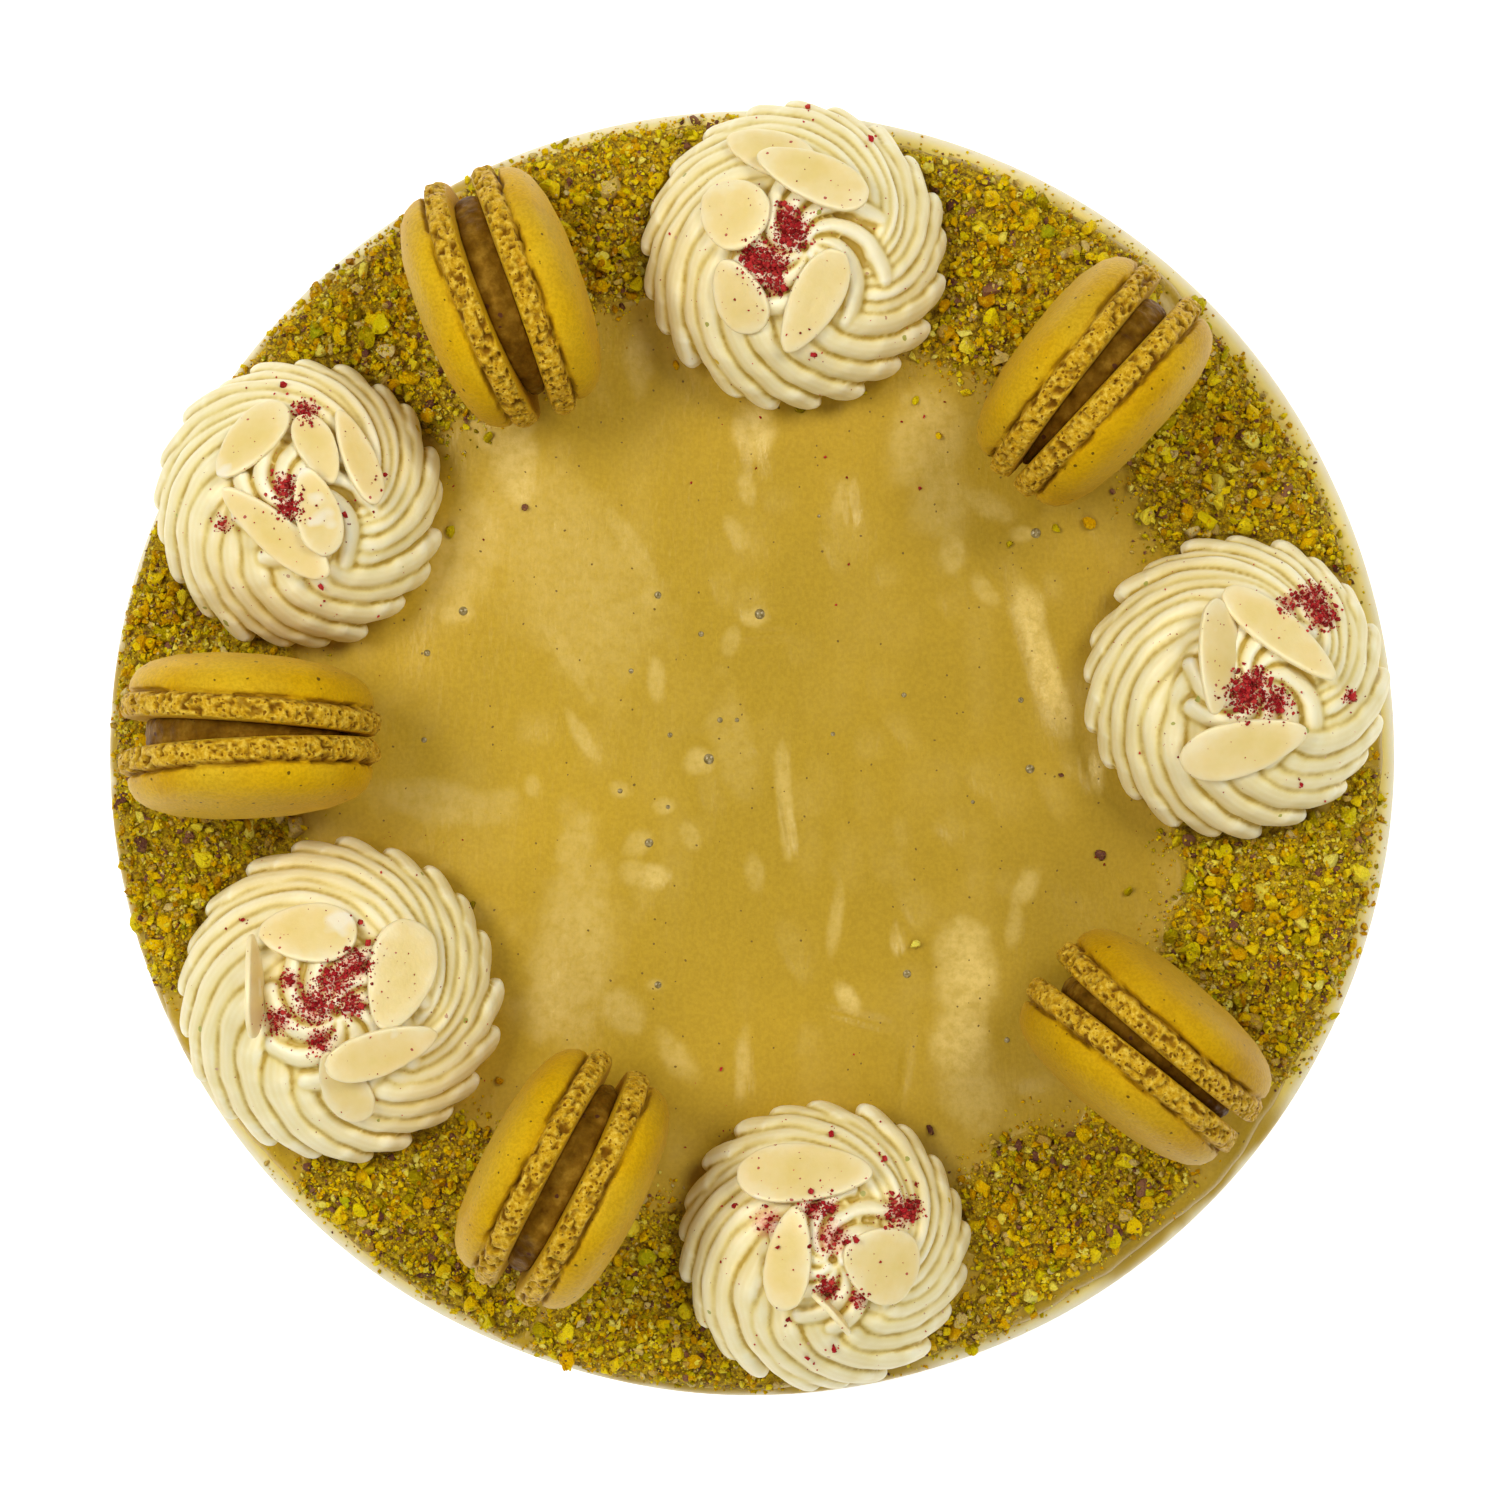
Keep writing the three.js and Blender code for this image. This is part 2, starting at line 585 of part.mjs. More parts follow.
// The room that a rosette takes above the glaze, which crumbs keep out of
function rosetteRoom(rosette) {
  const clear = 2 * GAP;
  const side = ROSETTE_PROFILE.slice(0, 3).map(
    ([reach, rise]) => new THREE.Vector2(reach * rosette.radius + clear, rise * ROSETTE_HEIGHT),
  );
  const top = new THREE.Vector2(rosette.radius + clear, ROSETTE_HEIGHT);
  const profile = [new THREE.Vector2(0, 0), ...side, top, new THREE.Vector2(0, ROSETTE_HEIGHT)];
  const geometry = new THREE.LatheGeometry(profile, 24).rotateX(Math.PI / 2);
  return geometry.translate(rosette.x, rosette.y, GLAZE_TOP);
}

// The glaze carries the crumb banks, and dips where the macarons are pressed into it
let glaze = solidFrom(glazeSheetGeometry());
for (const crumb of crumbSolids()) glaze = glaze.add(crumb);
for (const rosette of ROSETTES) glaze = glaze.subtract(solidFrom(rosetteRoom(rosette)));
for (const shell of shells) {
  glaze = glaze.subtract(solidFrom(shellGeometry(GAP), shell.matrixWorld));
}
addNode("pistachio_glaze", geometryFrom(largestBody(glaze)), finishes.glaze);

ROSETTES.forEach(addRosette);

flakes.forEach(({ flake, matrix }, i) => {
  const number = String(i + 1).padStart(2, "0");
  const geometry = flakeGeometry(flake).applyMatrix4(matrix);
  addNode(`almond_flake_${number}`, geometry, finishes.almond);
});

export default cheesecake;
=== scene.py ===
"""A whole pistachio kunafa cheesecake with piped rosettes, macarons and pistachio crumb."""
from collections import namedtuple
import itertools
import math

import bpy
import numpy as np
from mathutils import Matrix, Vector
from mathutils.bvhtree import BVHTree


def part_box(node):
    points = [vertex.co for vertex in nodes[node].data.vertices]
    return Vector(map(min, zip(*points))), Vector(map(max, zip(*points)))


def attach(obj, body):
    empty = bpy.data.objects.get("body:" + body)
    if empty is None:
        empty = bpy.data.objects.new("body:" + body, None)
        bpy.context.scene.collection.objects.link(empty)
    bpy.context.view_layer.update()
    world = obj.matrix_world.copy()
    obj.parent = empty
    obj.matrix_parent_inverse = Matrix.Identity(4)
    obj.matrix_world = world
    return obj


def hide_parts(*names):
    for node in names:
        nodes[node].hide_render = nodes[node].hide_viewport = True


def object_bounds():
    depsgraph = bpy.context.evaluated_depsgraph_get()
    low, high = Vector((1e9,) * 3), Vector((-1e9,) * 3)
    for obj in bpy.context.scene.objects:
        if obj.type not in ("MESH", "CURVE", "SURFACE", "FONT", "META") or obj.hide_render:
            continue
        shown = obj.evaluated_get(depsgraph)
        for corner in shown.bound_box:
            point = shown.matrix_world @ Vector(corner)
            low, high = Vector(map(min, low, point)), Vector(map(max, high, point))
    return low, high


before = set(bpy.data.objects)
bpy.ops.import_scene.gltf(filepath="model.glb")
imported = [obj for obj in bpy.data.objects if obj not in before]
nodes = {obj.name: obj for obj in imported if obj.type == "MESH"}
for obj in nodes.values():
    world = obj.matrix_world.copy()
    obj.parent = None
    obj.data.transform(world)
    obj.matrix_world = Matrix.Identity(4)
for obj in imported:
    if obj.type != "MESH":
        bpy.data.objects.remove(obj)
cad_low, cad_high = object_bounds()
bpy.ops.object.select_all(action="DESELECT")

# Camera, floor and light
# The photo looks straight down at the cake on a white sweep, from about 900 mm above the
# glaze. Three soft boxes stand round the camera, the strongest ones at the left and the
# upper right, and the glowing sweep fills in the shadows.
MM = 0.001
cake_radius = (cad_high.x - cad_low.x) / 2
body_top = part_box("cheesecake_body")[1].z
glaze_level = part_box("cream_rosette_1")[0].z - 0.3 * MM
camera_height = 900 * MM
frame_width = 266.2 * MM
sensor_width = 36
frame_middle = (-0.35 * MM, 0.53 * MM)

bpy.ops.object.camera_add(location=(*frame_middle, glaze_level + camera_height))
camera = bpy.context.object
camera.name = "camera"
camera.data.sensor_width = sensor_width
camera.data.lens = sensor_width * camera_height / frame_width
camera.data.clip_end = 10
bpy.context.scene.camera = camera
bpy.context.scene.view_settings.view_transform = "Standard"


def soft_box(name, across, height, size, power):
    """A square lamp that hangs at a place in plan and points at the cake."""
    bpy.ops.object.light_add(type="AREA", location=(*across, height))
    lamp = bpy.context.object
    lamp.name = name
    lamp.data.size = size
    lamp.data.energy = power
    aim = Vector((0, 0, glaze_level)) - lamp.location
    lamp.rotation_mode = "QUATERNION"
    lamp.rotation_quaternion = aim.to_track_quat("-Z", "Y")


SOFT_BOXES = [
    {"heading": 160, "reach": 0.55, "height": 0.9, "size": 0.4, "power": 5.1},
    {"heading": 40, "reach": 0.72, "height": 1.1, "size": 0.42, "power": 6.1},
    {"heading": 275, "reach": 0.75, "height": 1.1, "size": 0.6, "power": 3.5},
]
for number, box in enumerate(SOFT_BOXES, 1):
    turn = math.radians(box["heading"])
    across = (box["reach"] * math.cos(turn), box["reach"] * math.sin(turn))
    soft_box(f"soft_box_{number}", across, box["height"], box["size"], box["power"])

world = bpy.data.worlds.new("white_room")
world.use_nodes = True
world.node_tree.nodes["Background"].inputs["Color"].default_value = (1, 1, 1, 1)
world.node_tree.nodes["Background"].inputs["Strength"].default_value = 0.18
bpy.context.scene.world = world

bpy.ops.mesh.primitive_plane_add(size=8, location=(0, 0, 0))
floor = bpy.context.object
floor.name = "white_sweep"
floor_paint = bpy.data.materials.new("white_sweep_paint")
floor_paint.use_nodes = True
floor_shader = floor_paint.node_tree.nodes["Principled BSDF"]
floor_shader.inputs["Base Color"].default_value = (0.94, 0.93, 0.92, 1)
floor_shader.inputs["Roughness"].default_value = 0.9
floor_shader.inputs["Emission Color"].default_value = (1, 1, 1, 1)
floor_shader.inputs["Emission Strength"].default_value = 0.6
floor.data.materials.append(floor_paint)


# Cheesecake body
# The baked cream cheese drum, ivory all through, turned out of its ring and smoothed round
# the side with a knife. Its rounded shoulder shows as a pale rim outside the glaze.
def cloudy(points, size, seed=0):
    """Smooth noise from -1 to 1 at each point, with lumps of a size in metres."""
    cells = points / size + 71.3
    low = np.floor(cells).astype(np.int64)
    part = cells - low
    part = part * part * (3 - 2 * part)
    total = np.zeros(len(points))
    for corner in itertools.product((0, 1), repeat=3):
        x, y, z = (low + corner).T
        mixed = (x * 73856093) ^ (y * 19349663) ^ (z * 83492791) ^ (seed * 2971215073)
        mixed = (mixed ^ (mixed >> 13)) * 1274126177
        value = ((mixed ^ (mixed >> 16)) & 0xFFFF) / 0xFFFF
        share = np.prod(np.where(corner, part, 1 - part), axis=1)
        total += share * value
    return 2 * total - 1


def points_of(mesh):
    """The vertices of a mesh as an array of x, y and z."""
    flat = np.empty(len(mesh.vertices) * 3)
    mesh.vertices.foreach_get("co", flat)
    return flat.reshape(-1, 3)


def move_points(piece, points):
    """Puts the vertices of a piece at new places."""
    piece.data.vertices.foreach_set("co", points.astype(np.float32).ravel())
    piece.data.update()


def store(piece, name, values):
    """Keeps a value for each vertex of a piece, for its material."""
    attribute = piece.data.attributes.new(name, "FLOAT", "POINT")
    attribute.data.foreach_set("value", np.asarray(values, dtype=np.float32))


def finish_piece(piece, finish, slot, *replaced):
    """Gives a piece its material, what it rides on and the nodes that it replaces; the slot is not
    used.
    """
    piece.data.materials.append(finish)
    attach(piece, "root")
    if replaced:
        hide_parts(*replaced)


def link_piece(name, mesh):
    """A piece for a mesh, put into the scene."""
    piece = bpy.data.objects.new(name, mesh)
    bpy.context.collection.objects.link(piece)
    return piece


def make_active(piece):
    """Selects one piece alone, for the tools that work on the selection."""
    bpy.ops.object.select_all(action="DESELECT")
    piece.select_set(True)
    bpy.context.view_layer.objects.active = piece


def ease(value):
    """0 below 0, 1 above 1, smooth between."""
    held = np.clip(value, 0, 1)
    return held * held * (3 - 2 * held)


def new_material(name, roughness, subsurface, radius, scale, specular=0.5, tint=(1, 1, 1)):
    """A material with its node tree and shader, ready for its colour and relief."""
    material = bpy.data.materials.new(name)
    material.use_nodes = True
    shader = material.node_tree.nodes["Principled BSDF"]
    shader.inputs["Roughness"].default_value = roughness
    shader.inputs["Subsurface Weight"].default_value = subsurface
    shader.inputs["Subsurface Radius"].default_value = radius
    shader.inputs["Subsurface Scale"].default_value = scale
    shader.inputs["Specular IOR Level"].default_value = specular
    shader.inputs["Specular Tint"].default_value = (*tint, 1)
    return material, material.node_tree, shader


def add_node(tree, kind, inputs=None, **settings):
    """A shader node with its settings. Each input is a socket, a number, a vector or a colour."""
    node = tree.nodes.new(kind)
    for key, value in settings.items():
        setattr(node, key, value)
    for name, source in (inputs or {}).items():
        socket = node.inputs[name]
        if isinstance(source, bpy.types.NodeSocket):
            tree.links.new(source, socket)
        elif socket.type == "RGBA":
            socket.default_value = (*source, 1)
        else:
            socket.default_value = source
    return node


def attribute(tree, name):
    """The value that a piece keeps on its vertices under a name."""
    return add_node(tree, "ShaderNodeAttribute", attribute_name=name).outputs["Fac"]


def maths(tree, operation, *values):
    """The result of one operation on sockets and numbers."""
    return add_node(tree, "ShaderNodeMath", dict(enumerate(values)), operation=operation).outputs[0]


def rescaled(tree, source, low, high, to_low=0.0, to_high=1.0):
    """A value moved from one range into another and held there."""
    ranges = {0: source, 1: low, 2: high, 3: to_low, 4: to_high}
    return add_node(tree, "ShaderNodeMapRange", ranges).outputs[0]


def object_place(tree):
    """The piece's own coordinates."""
    return add_node(tree, "ShaderNodeTexCoord").outputs["Object"]


def object_noise(tree, scale, detail=3.0, roughness=0.55):
    """Noise over the piece's own coordinates, scale in lumps to the metre."""
    inputs = {"Vector": object_place(tree), "Scale": scale, "Detail": detail, "Roughness": roughness}
    return add_node(tree, "ShaderNodeTexNoise", inputs).outputs["Fac"]


def ramp(tree, source, stops):
    """The colour of a ramp over a value: stops are pairs of place and colour."""
    node = add_node(tree, "ShaderNodeValToRGB", {"Fac": source})
    elements = node.color_ramp.elements
    while len(elements) < len(stops):
        elements.new(0.5)
    for element, (place, colour) in zip(elements, stops):
        element.position = place
        element.color = (*colour, 1)
    return node.outputs["Color"]


def mix_colour(tree, share, below, above, blend="MIX"):
    """Mixes two colours by a share."""
    inputs = {0: share, 6: below, 7: above}
    return add_node(tree, "ShaderNodeMix", inputs, data_type="RGBA", blend_type=blend).outputs[2]


def add_bump(tree, shader, height, distance, strength):
    """Relief from a height, on top of any relief that the shader already has."""
    inputs = {"Height": height, "Distance": distance, "Strength": strength}
    normal = shader.inputs["Normal"]
    if normal.is_linked:
        inputs["Normal"] = normal.links[0].from_socket
    tree.links.new(add_node(tree, "ShaderNodeBump", inputs).outputs["Normal"], normal)


def specks_group():
    """Shader group: a mask of scattered specks, round but for some sway in their outlines."""
    group = bpy.data.node_groups.new("scattered_specks", "ShaderNodeTree")
    for name in ("Scale", "Speck Size", "Share", "Mask"):
        way = "OUTPUT" if name == "Mask" else "INPUT"
        group.interface.new_socket(name, in_out=way, socket_type="NodeSocketFloat")
    given = group.nodes.new("NodeGroupInput").outputs
    put_out = group.nodes.new("NodeGroupOutput")
    place = object_place(group)
    waver = add_node(group, "ShaderNodeTexNoise", {"Vector": place, "Scale": 900.0})
    sway = (0.6 * MM, 0.6 * MM, 0.6 * MM)
    swayed = {0: waver.outputs["Color"], 1: sway, 2: place}
    shifted = add_node(group, "ShaderNodeVectorMath", swayed, operation="MULTIPLY_ADD")
    cells = add_node(
        group, "ShaderNodeTexVoronoi", {"Vector": shifted.outputs[0], "Scale": given["Scale"]})
    lot = add_node(group, "ShaderNodeSeparateColor", {0: cells.outputs["Color"]}).outputs[0]
    chosen = maths(group, "LESS_THAN", lot, given["Share"])
    near = maths(group, "LESS_THAN", cells.outputs["Distance"], given["Speck Size"])
    group.links.new(maths(group, "MULTIPLY", chosen, near), put_out.inputs["Mask"])
    return group


scattered_specks = specks_group()


def specks(tree, scale, size, share):
    """A mask of specks: size in cell widths, share of the cells that hold one."""
    inputs = {"Scale": scale, "Speck Size": size, "Share": share}
    return add_node(tree, "ShaderNodeGroup", node_tree=scattered_specks, inputs=inputs).outputs[0]


def dotted(tree, tone, colour, *dots):
    """A tone with specks of one colour: the scale, size and share of each kind of speck."""
    for scale, size, share in dots:
        tone = mix_colour(tree, specks(tree, scale, size, share), tone, colour)
    return tone


def body_material():
    material, tree, shader = new_material("ivory_cream_cheese", 0.55, 0.25, (1, 0.7, 0.4), 0.004)
    ivory = ramp(tree, object_noise(tree, 60), [(0.3, (0.9, 0.78, 0.48)), (0.7, (0.94, 0.85, 0.6))])
    stained = mix_colour(tree, attribute(tree, "stain"), ivory, (0.88, 0.68, 0.12))
    smeared = mix_colour(tree, attribute(tree, "smear"), stained, (0.5, 0.32, 0.014))
    tree.links.new(smeared, shader.inputs["Base Color"])
    add_bump(tree, shader, object_noise(tree, 900, 4), 0.0003, 0.35)
    hollow = maths(tree, "SUBTRACT", 1.0, specks(tree, 330, 0.22, 0.2))
    add_bump(tree, shader, hollow, 0.0005, 0.6)
    return material


# Glaze that ran over the shoulder: heading of its middle and half its width, in degrees.
Run = namedtuple("Run", "heading half")
GLAZE_RUNS = [Run(118, 7), Run(143, 6), Run(190, 22), Run(271, 17), Run(315, 13)]


def smeared_shoulder(points):
    """How much of the shoulder is under glaze, where some ran over it in the photo."""
    turn = np.degrees(np.arctan2(points[:, 1], points[:, 0]))
    covered = np.zeros(len(points))
    for run in GLAZE_RUNS:
        off = np.abs((turn - run.heading + 180) % 360 - 180)
        covered = np.maximum(covered, ease((run.half - off) / 4))
    ragged = 0.5 * cloudy(points, 4 * MM, 8)
    return covered * ease((points[:, 2] - body_top) / (2.4 * MM) + 1.1 + ragged)


def drum_blank():
    """A drum with a rounded shoulder and its side cut into rows."""
    shoulder = 3 * MM
    bpy.ops.mesh.primitive_cylinder_add(
        vertices=288, radius=cake_radius, depth=body_top, location=(0, 0, body_top / 2))
    drum = bpy.context.object
    drum.name = "ivory_cheesecake"
    bpy.ops.object.mode_set(mode="EDIT")
    bpy.ops.mesh.select_all(action="DESELECT")
    bpy.ops.object.mode_set(mode="OBJECT")
    for edge in drum.data.edges:
        heights = [drum.data.vertices[i].co.z for i in edge.vertices]
        edge.select = min(heights) > body_top / 2 - MM
    bpy.ops.object.mode_set(mode="EDIT")
    bpy.ops.mesh.bevel(offset=shoulder, segments=8, affect="EDGES")
    for level in np.linspace(2 * MM, body_top - 5 * MM, 20):
        bpy.ops.mesh.select_all(action="SELECT")
        bpy.ops.mesh.bisect(plane_co=(0, 0, level), plane_no=(0, 0, 1))
    bpy.ops.object.mode_set(mode="OBJECT")
    bpy.ops.object.transform_apply(location=True)
    return drum


def smoothed_drum():
    """The drum with knife marks in its side, and how yellow and smeared its top is."""
    drum = drum_blank()
    points = points_of(drum.data)
    long_marks = 0.16 * cloudy(points * (1, 1, 5), 30 * MM, 3)
    marks = long_marks + 0.1 * cloudy(points * (1, 1, 9), 22 * MM, 4)
    across = np.hypot(points[:, 0], points[:, 1])
    side = ease((across - 0.09) / 0.02) * ease(points[:, 2] / (3 * MM))
    inward = (-0.22 + marks) * MM * side
    points[:, :2] *= (1 + inward / np.maximum(across, MM))[:, None]
    move_points(drum, points)
    bpy.ops.object.shade_smooth_by_angle(angle=math.radians(35))
    stain = ease((cake_radius - across) / (3 * MM)) * ease((points[:, 2] - body_top) / (3 * MM) + 1)
    store(drum, "stain", stain)
    store(drum, "smear", smeared_shoulder(points))
    return drum


drum = smoothed_drum()
finish_piece(drum, body_material(), "ivory_cheesecake", "cheesecake_body")


# Where the toppings stand
# Every topping is taken from its own solid in the frame: a rosette's middle and reach, and
# a macaron's two shells, each with the axis that it was piped round.
def node_points(name):
    """The vertices of a node of the frame."""
    return points_of(nodes[name].data)


def rosette_place(number):
    """Middle, reach and top of a rosette's solid."""
    low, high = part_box(f"cream_rosette_{number}")
    middle = np.array(((low.x + high.x) / 2, (low.y + high.y) / 2))
    return {"middle": middle, "reach": (high.x - low.x) / 2, "top": high.z}


def shell_place(name):
    """The middle of a shell's flat face and the direction towards its dome."""
    points = np.unique(node_points(name).round(6), axis=0)
    centred = points - points.mean(axis=0)
    axis = np.linalg.eigh(centred.T @ centred)[1][:, 0]
    along = centred @ axis
    if np.sum(along > along.max() - 0.2 * MM) > np.sum(along < along.min() + 0.2 * MM):
        axis, along = -axis, -along
    face = points.mean(axis=0) + axis * along.min()
    return {"face": face, "axis": axis, "thickness": np.ptp(along)}


rosettes = [rosette_place(number) for number in range(1, 6)]
macarons = [
    {side: shell_place(f"macaron_{number}_shell_{side}") for side in "ab"}
    for number in range(1, 6)
]
macaron_radius = 22.5 * MM


def macaron_frame(macaron):
    """Middle of a macaron, the heading of its disc and the direction across it."""
    middle = (macaron["a"]["face"] + macaron["b"]["face"]) / 2
    across = macaron["a"]["axis"] - macaron["b"]["axis"]
    across = across[:2] / np.hypot(*across[:2])
    return middle, np.array((across[1], -across[0])), across


def under_macaron(x, y, macaron):
    """Level of the underside of a macaron above each point, as if it leaned neither way."""
    middle, along, across = macaron_frame(macaron)
    off = np.stack((x - middle[0], y - middle[1]))
    run = along @ off
    wide = np.abs(across @ off)
    half_gap = np.linalg.norm(macaron["a"]["face"] - macaron["b"]["face"]) / 2
    thickness = macaron["a"]["thickness"]
    # The outline of a shell: how far out it is from the flat face, and its radius there.
    stations = half_gap + np.array((0, 0.9, 3.9, 4.9, 8.4, 11.3, thickness / MM)) * MM
    radii = np.array((21.8, 22.5, 22.3, 20.9, 19.5, 13.9, 0)) * MM
    reach = np.interp(wide, stations, radii, right=0)
    return middle[2] - np.sqrt(np.maximum(reach ** 2 - run ** 2, 0)), reach - np.abs(run)


# Pistachio glaze
# A soft pistachio cream poured on the cold cake and pushed to the edge with a knife. It set
# with a satin skin, long shallow dents, small bubbles and knife creases, and it ends
# in an uneven lip just short of the shoulder. The chopped pistachio lies in banks on it.

# Banks of crumb: heading of the middle and half width in degrees, radii and depth in mm.
Bank = namedtuple("Bank", "middle half inner outer depth")
CRUMB_BANKS = [
    Bank(30, 14, 79, 112, 2.5), Bank(63, 14, 75, 112, 2.7), Bank(103, 13, 82, 114.5, 2.5),
    Bank(132, 13, 77, 118, 2.1), Bank(166, 9, 80, 115.5, 2.1), Bank(180, 10, 101, 116, 1.1),
    Bank(195, 10, 79, 115.5, 1.9), Bank(234, 13, 78, 113, 1.7), Bank(261, 13, 82, 115, 1.3),
    Bank(285, 12, 104, 113, 0.9), Bank(306, 13, 82, 110, 2.3), Bank(343, 14, 76, 113.5, 2.3),
]

# The glaze's lip from its underside up: inset in mm and share of the thickness.
GLAZE_LIP = [
    (3.2, 0), (0.6, 0), (0.1, 0.1), (0, 0.24), (0.15, 0.42), (0.6, 0.62), (1.4, 0.8), (2.6, 0.93),
]

# Bubbles: the photo's pixel and the radius in mm. The profile is in shares of the radius.
Bubble = namedtuple("Bubble", "pixel radius")
BUBBLES = [
    Bubble((463, 611), 0.8), Bubble((658, 595), 0.65), Bubble((760, 614), 0.95),
    Bubble((701, 634), 0.5), Bubble((631, 671), 0.45), Bubble((427, 653), 0.6),
    Bubble((720, 720), 0.5), Bubble((737, 720), 0.4), Bubble((670, 735), 0.45),
    Bubble((709, 759), 0.95), Bubble((620, 791), 0.45), Bubble((668, 807), 0.4),
    Bubble((649, 843), 0.8), Bubble((833, 734), 0.4), Bubble((658, 985), 0.65),
    Bubble((973, 802), 0.35), Bubble((424, 740), 0.5), Bubble((1036, 533), 0.9),
    Bubble((1030, 769), 0.8), Bubble((1021, 700), 0.5), Bubble((1007, 1040), 0.5),
    Bubble((907, 974), 0.75), Bubble((904, 695), 0.45), Bubble((819, 516), 0.3),
]
BUBBLE_PROFILE = [(0.8, -0.35), (1, -0.12), (1, 0.02), (0.86, 0.14), (0.5, 0.3), (0.2, 0.35)]

# Patches of painted sheen, paler glaze in place of the lamps' reflection: pixel, half length and half
# width in pixels, heading, and how pale.
Patch = namedtuple("Patch", "pixel half heading share")
SHEEN_PATCHES = [
    Patch((515, 460), (44, 24), 90, 0.85), Patch((482, 430), (22, 11), 115, 0.6),
    Patch((470, 545), (72, 34), 60, 0.55), Patch((455, 612), (16, 10), 10, 0.65),
    Patch((570, 570), (130, 62), 118, 0.4), Patch((628, 542), (42, 11), 124, 0.5),
    Patch((560, 645), (60, 9), 120, 0.45), Patch((655, 680), (24, 9), 92, 0.6),
    Patch((650, 597), (11, 9), 90, 0.5), Patch((605, 622), (19, 8), 105, 0.45),
    Patch((582, 737), (27, 8), 120, 0.7), Patch((697, 762), (15, 13), 0, 0.65),
    Patch((618, 790), (9, 8), 0, 0.55), Patch((664, 806), (11, 9), 0, 0.55),
    Patch((638, 843), (17, 12), 40, 0.55), Patch((655, 876), (18, 13), 10, 0.85),
    Patch((632, 872), (14, 13), 0, 0.5), Patch((690, 836), (15, 9), 110, 0.5),
    Patch((785, 800), (56, 8), 94, 0.6), Patch((755, 872), (17, 9), 95, 0.4),
    Patch((575, 850), (44, 19), 80, 0.5), Patch((572, 950), (90, 42), 84, 0.6),
    Patch((552, 1000), (42, 26), 70, 0.7), Patch((620, 1008), (24, 20), 150, 0.6),
    Patch((440, 802), (72, 22), 172, 0.5), Patch((532, 786), (10, 7), 90, 0.5),
    Patch((655, 985), (9, 6), 0, 0.5), Patch((835, 922), (38, 6), 82, 0.5),
    Patch((847, 998), (19, 11), 125, 0.9), Patch((742, 1068), (34, 7), 86, 0.65),
    Patch((675, 1055), (28, 12), 120, 0.55), Patch((896, 940), (18, 6), 92, 0.6),
    Patch((966, 975), (52, 30), 92, 0.85), Patch((958, 1042), (36, 30), 90, 0.85),
    Patch((970, 1098), (38, 26), 130, 0.5), Patch((1025, 888), (20, 11), 60, 0.6),
    Patch((1014, 925), (22, 8), 80, 0.45), Patch((1044, 662), (68, 14), 107, 0.95),
    Patch((1034, 620), (28, 12), 95, 0.85), Patch((926, 440), (48, 34), 80, 0.6),
    Patch((940, 500), (44, 26), 110, 0.5), Patch((952, 552), (24, 13), 95, 0.6),
    Patch((990, 508), (26, 12), 155, 0.5), Patch((984, 590), (16, 8), 125, 0.5),
    Patch((1022, 533), (11, 8), 0, 0.55), Patch((754, 430), (26, 19), 95, 0.85),
    Patch((747, 490), (17, 8), 105, 0.6), Patch((736, 532), (18, 9), 125, 0.5),
    Patch((753, 617), (13, 10), 0, 0.7), Patch((732, 640), (15, 8), 70, 0.45),
    Patch((842, 496), (20, 10), 80, 0.5), Patch((1096, 772), (20, 6), 100, 0.6),
    Patch((640, 365), (36, 13), 90, 0.5), Patch((735, 745), (60, 20), 100, 0.3),
]

# Creases: the pixels where one starts and ends, its width and its depth in mm.
Crease = namedtuple("Crease", "start end wide deep")
CREASES = [
    Crease((740, 636), (793, 634), 1.3, 0.35), Crease((783, 800), (792, 852), 0.9, 0.4),
    Crease((908, 1040), (900, 1100), 1.0, 0.55), Crease((830, 1012), (892, 1028), 1.1, 0.5),
    Crease((742, 1052), (748, 1092), 1.2, 0.35), Crease((1022, 590), (1062, 730), 3.2, 0.5),
    Crease((1085, 755), (1090, 790), 1.2, 0.35), Crease((846, 478), (852, 522), 1.3, 0.5),
    Crease((750, 430), (756, 478), 2.2, 0.5), Crease((896, 924), (899, 950), 0.9, 0.45),
]

# The photo's scale at the level of the glaze, and its middle.
PHOTO_PIXEL = frame_width / 1500
PHOTO_MIDDLE = 750


def from_photo(pixel):
    """The place on the glaze that a pixel of the 1500 by 1500 photo shows."""
    x = frame_middle[0] + (pixel[0] - PHOTO_MIDDLE) * PHOTO_PIXEL
    y = frame_middle[1] - (pixel[1] - PHOTO_MIDDLE) * PHOTO_PIXEL
    return np.array((x, y))


def in_plan(x, y):
    """Points at some x and y, with no height."""
    return np.stack((x, y, 0 * x), axis=1)


def spokes(turn):
    """Directions in plan at some turns."""
    return np.stack((np.cos(turn), np.sin(turn)), axis=-1)


def ring_row(angle, radius, level, middle=(0, 0)):
    """A row of points round a middle."""
    x = middle[0] + radius * np.cos(angle)
    y = middle[1] + radius * np.sin(angle)
    return np.stack((x, y, np.full(len(x), level)), axis=1)


def glaze_reach(angle):
    """How far the glaze's uneven lip reaches in each direction, least at the photo's notch."""
    from_notch = np.arctan2(np.sin(angle - math.radians(223)), np.cos(angle - math.radians(223)))
    notch = 1.3 * np.exp(-((from_notch / math.radians(12)) ** 2))
    lobes = 0.45 * np.sin(7 * angle + 1.1) + 0.3 * np.sin(16 * angle + 0.4)
    ring = in_plan(np.cos(angle), np.sin(angle))
    ragged = 0.5 * cloudy(ring, 0.06, 8) + 0.3 * cloudy(ring, 0.025, 9)
    reach = 112.3 - 1.1 * np.cos(angle - math.radians(25)) + lobes + ragged - notch
    return reach * MM


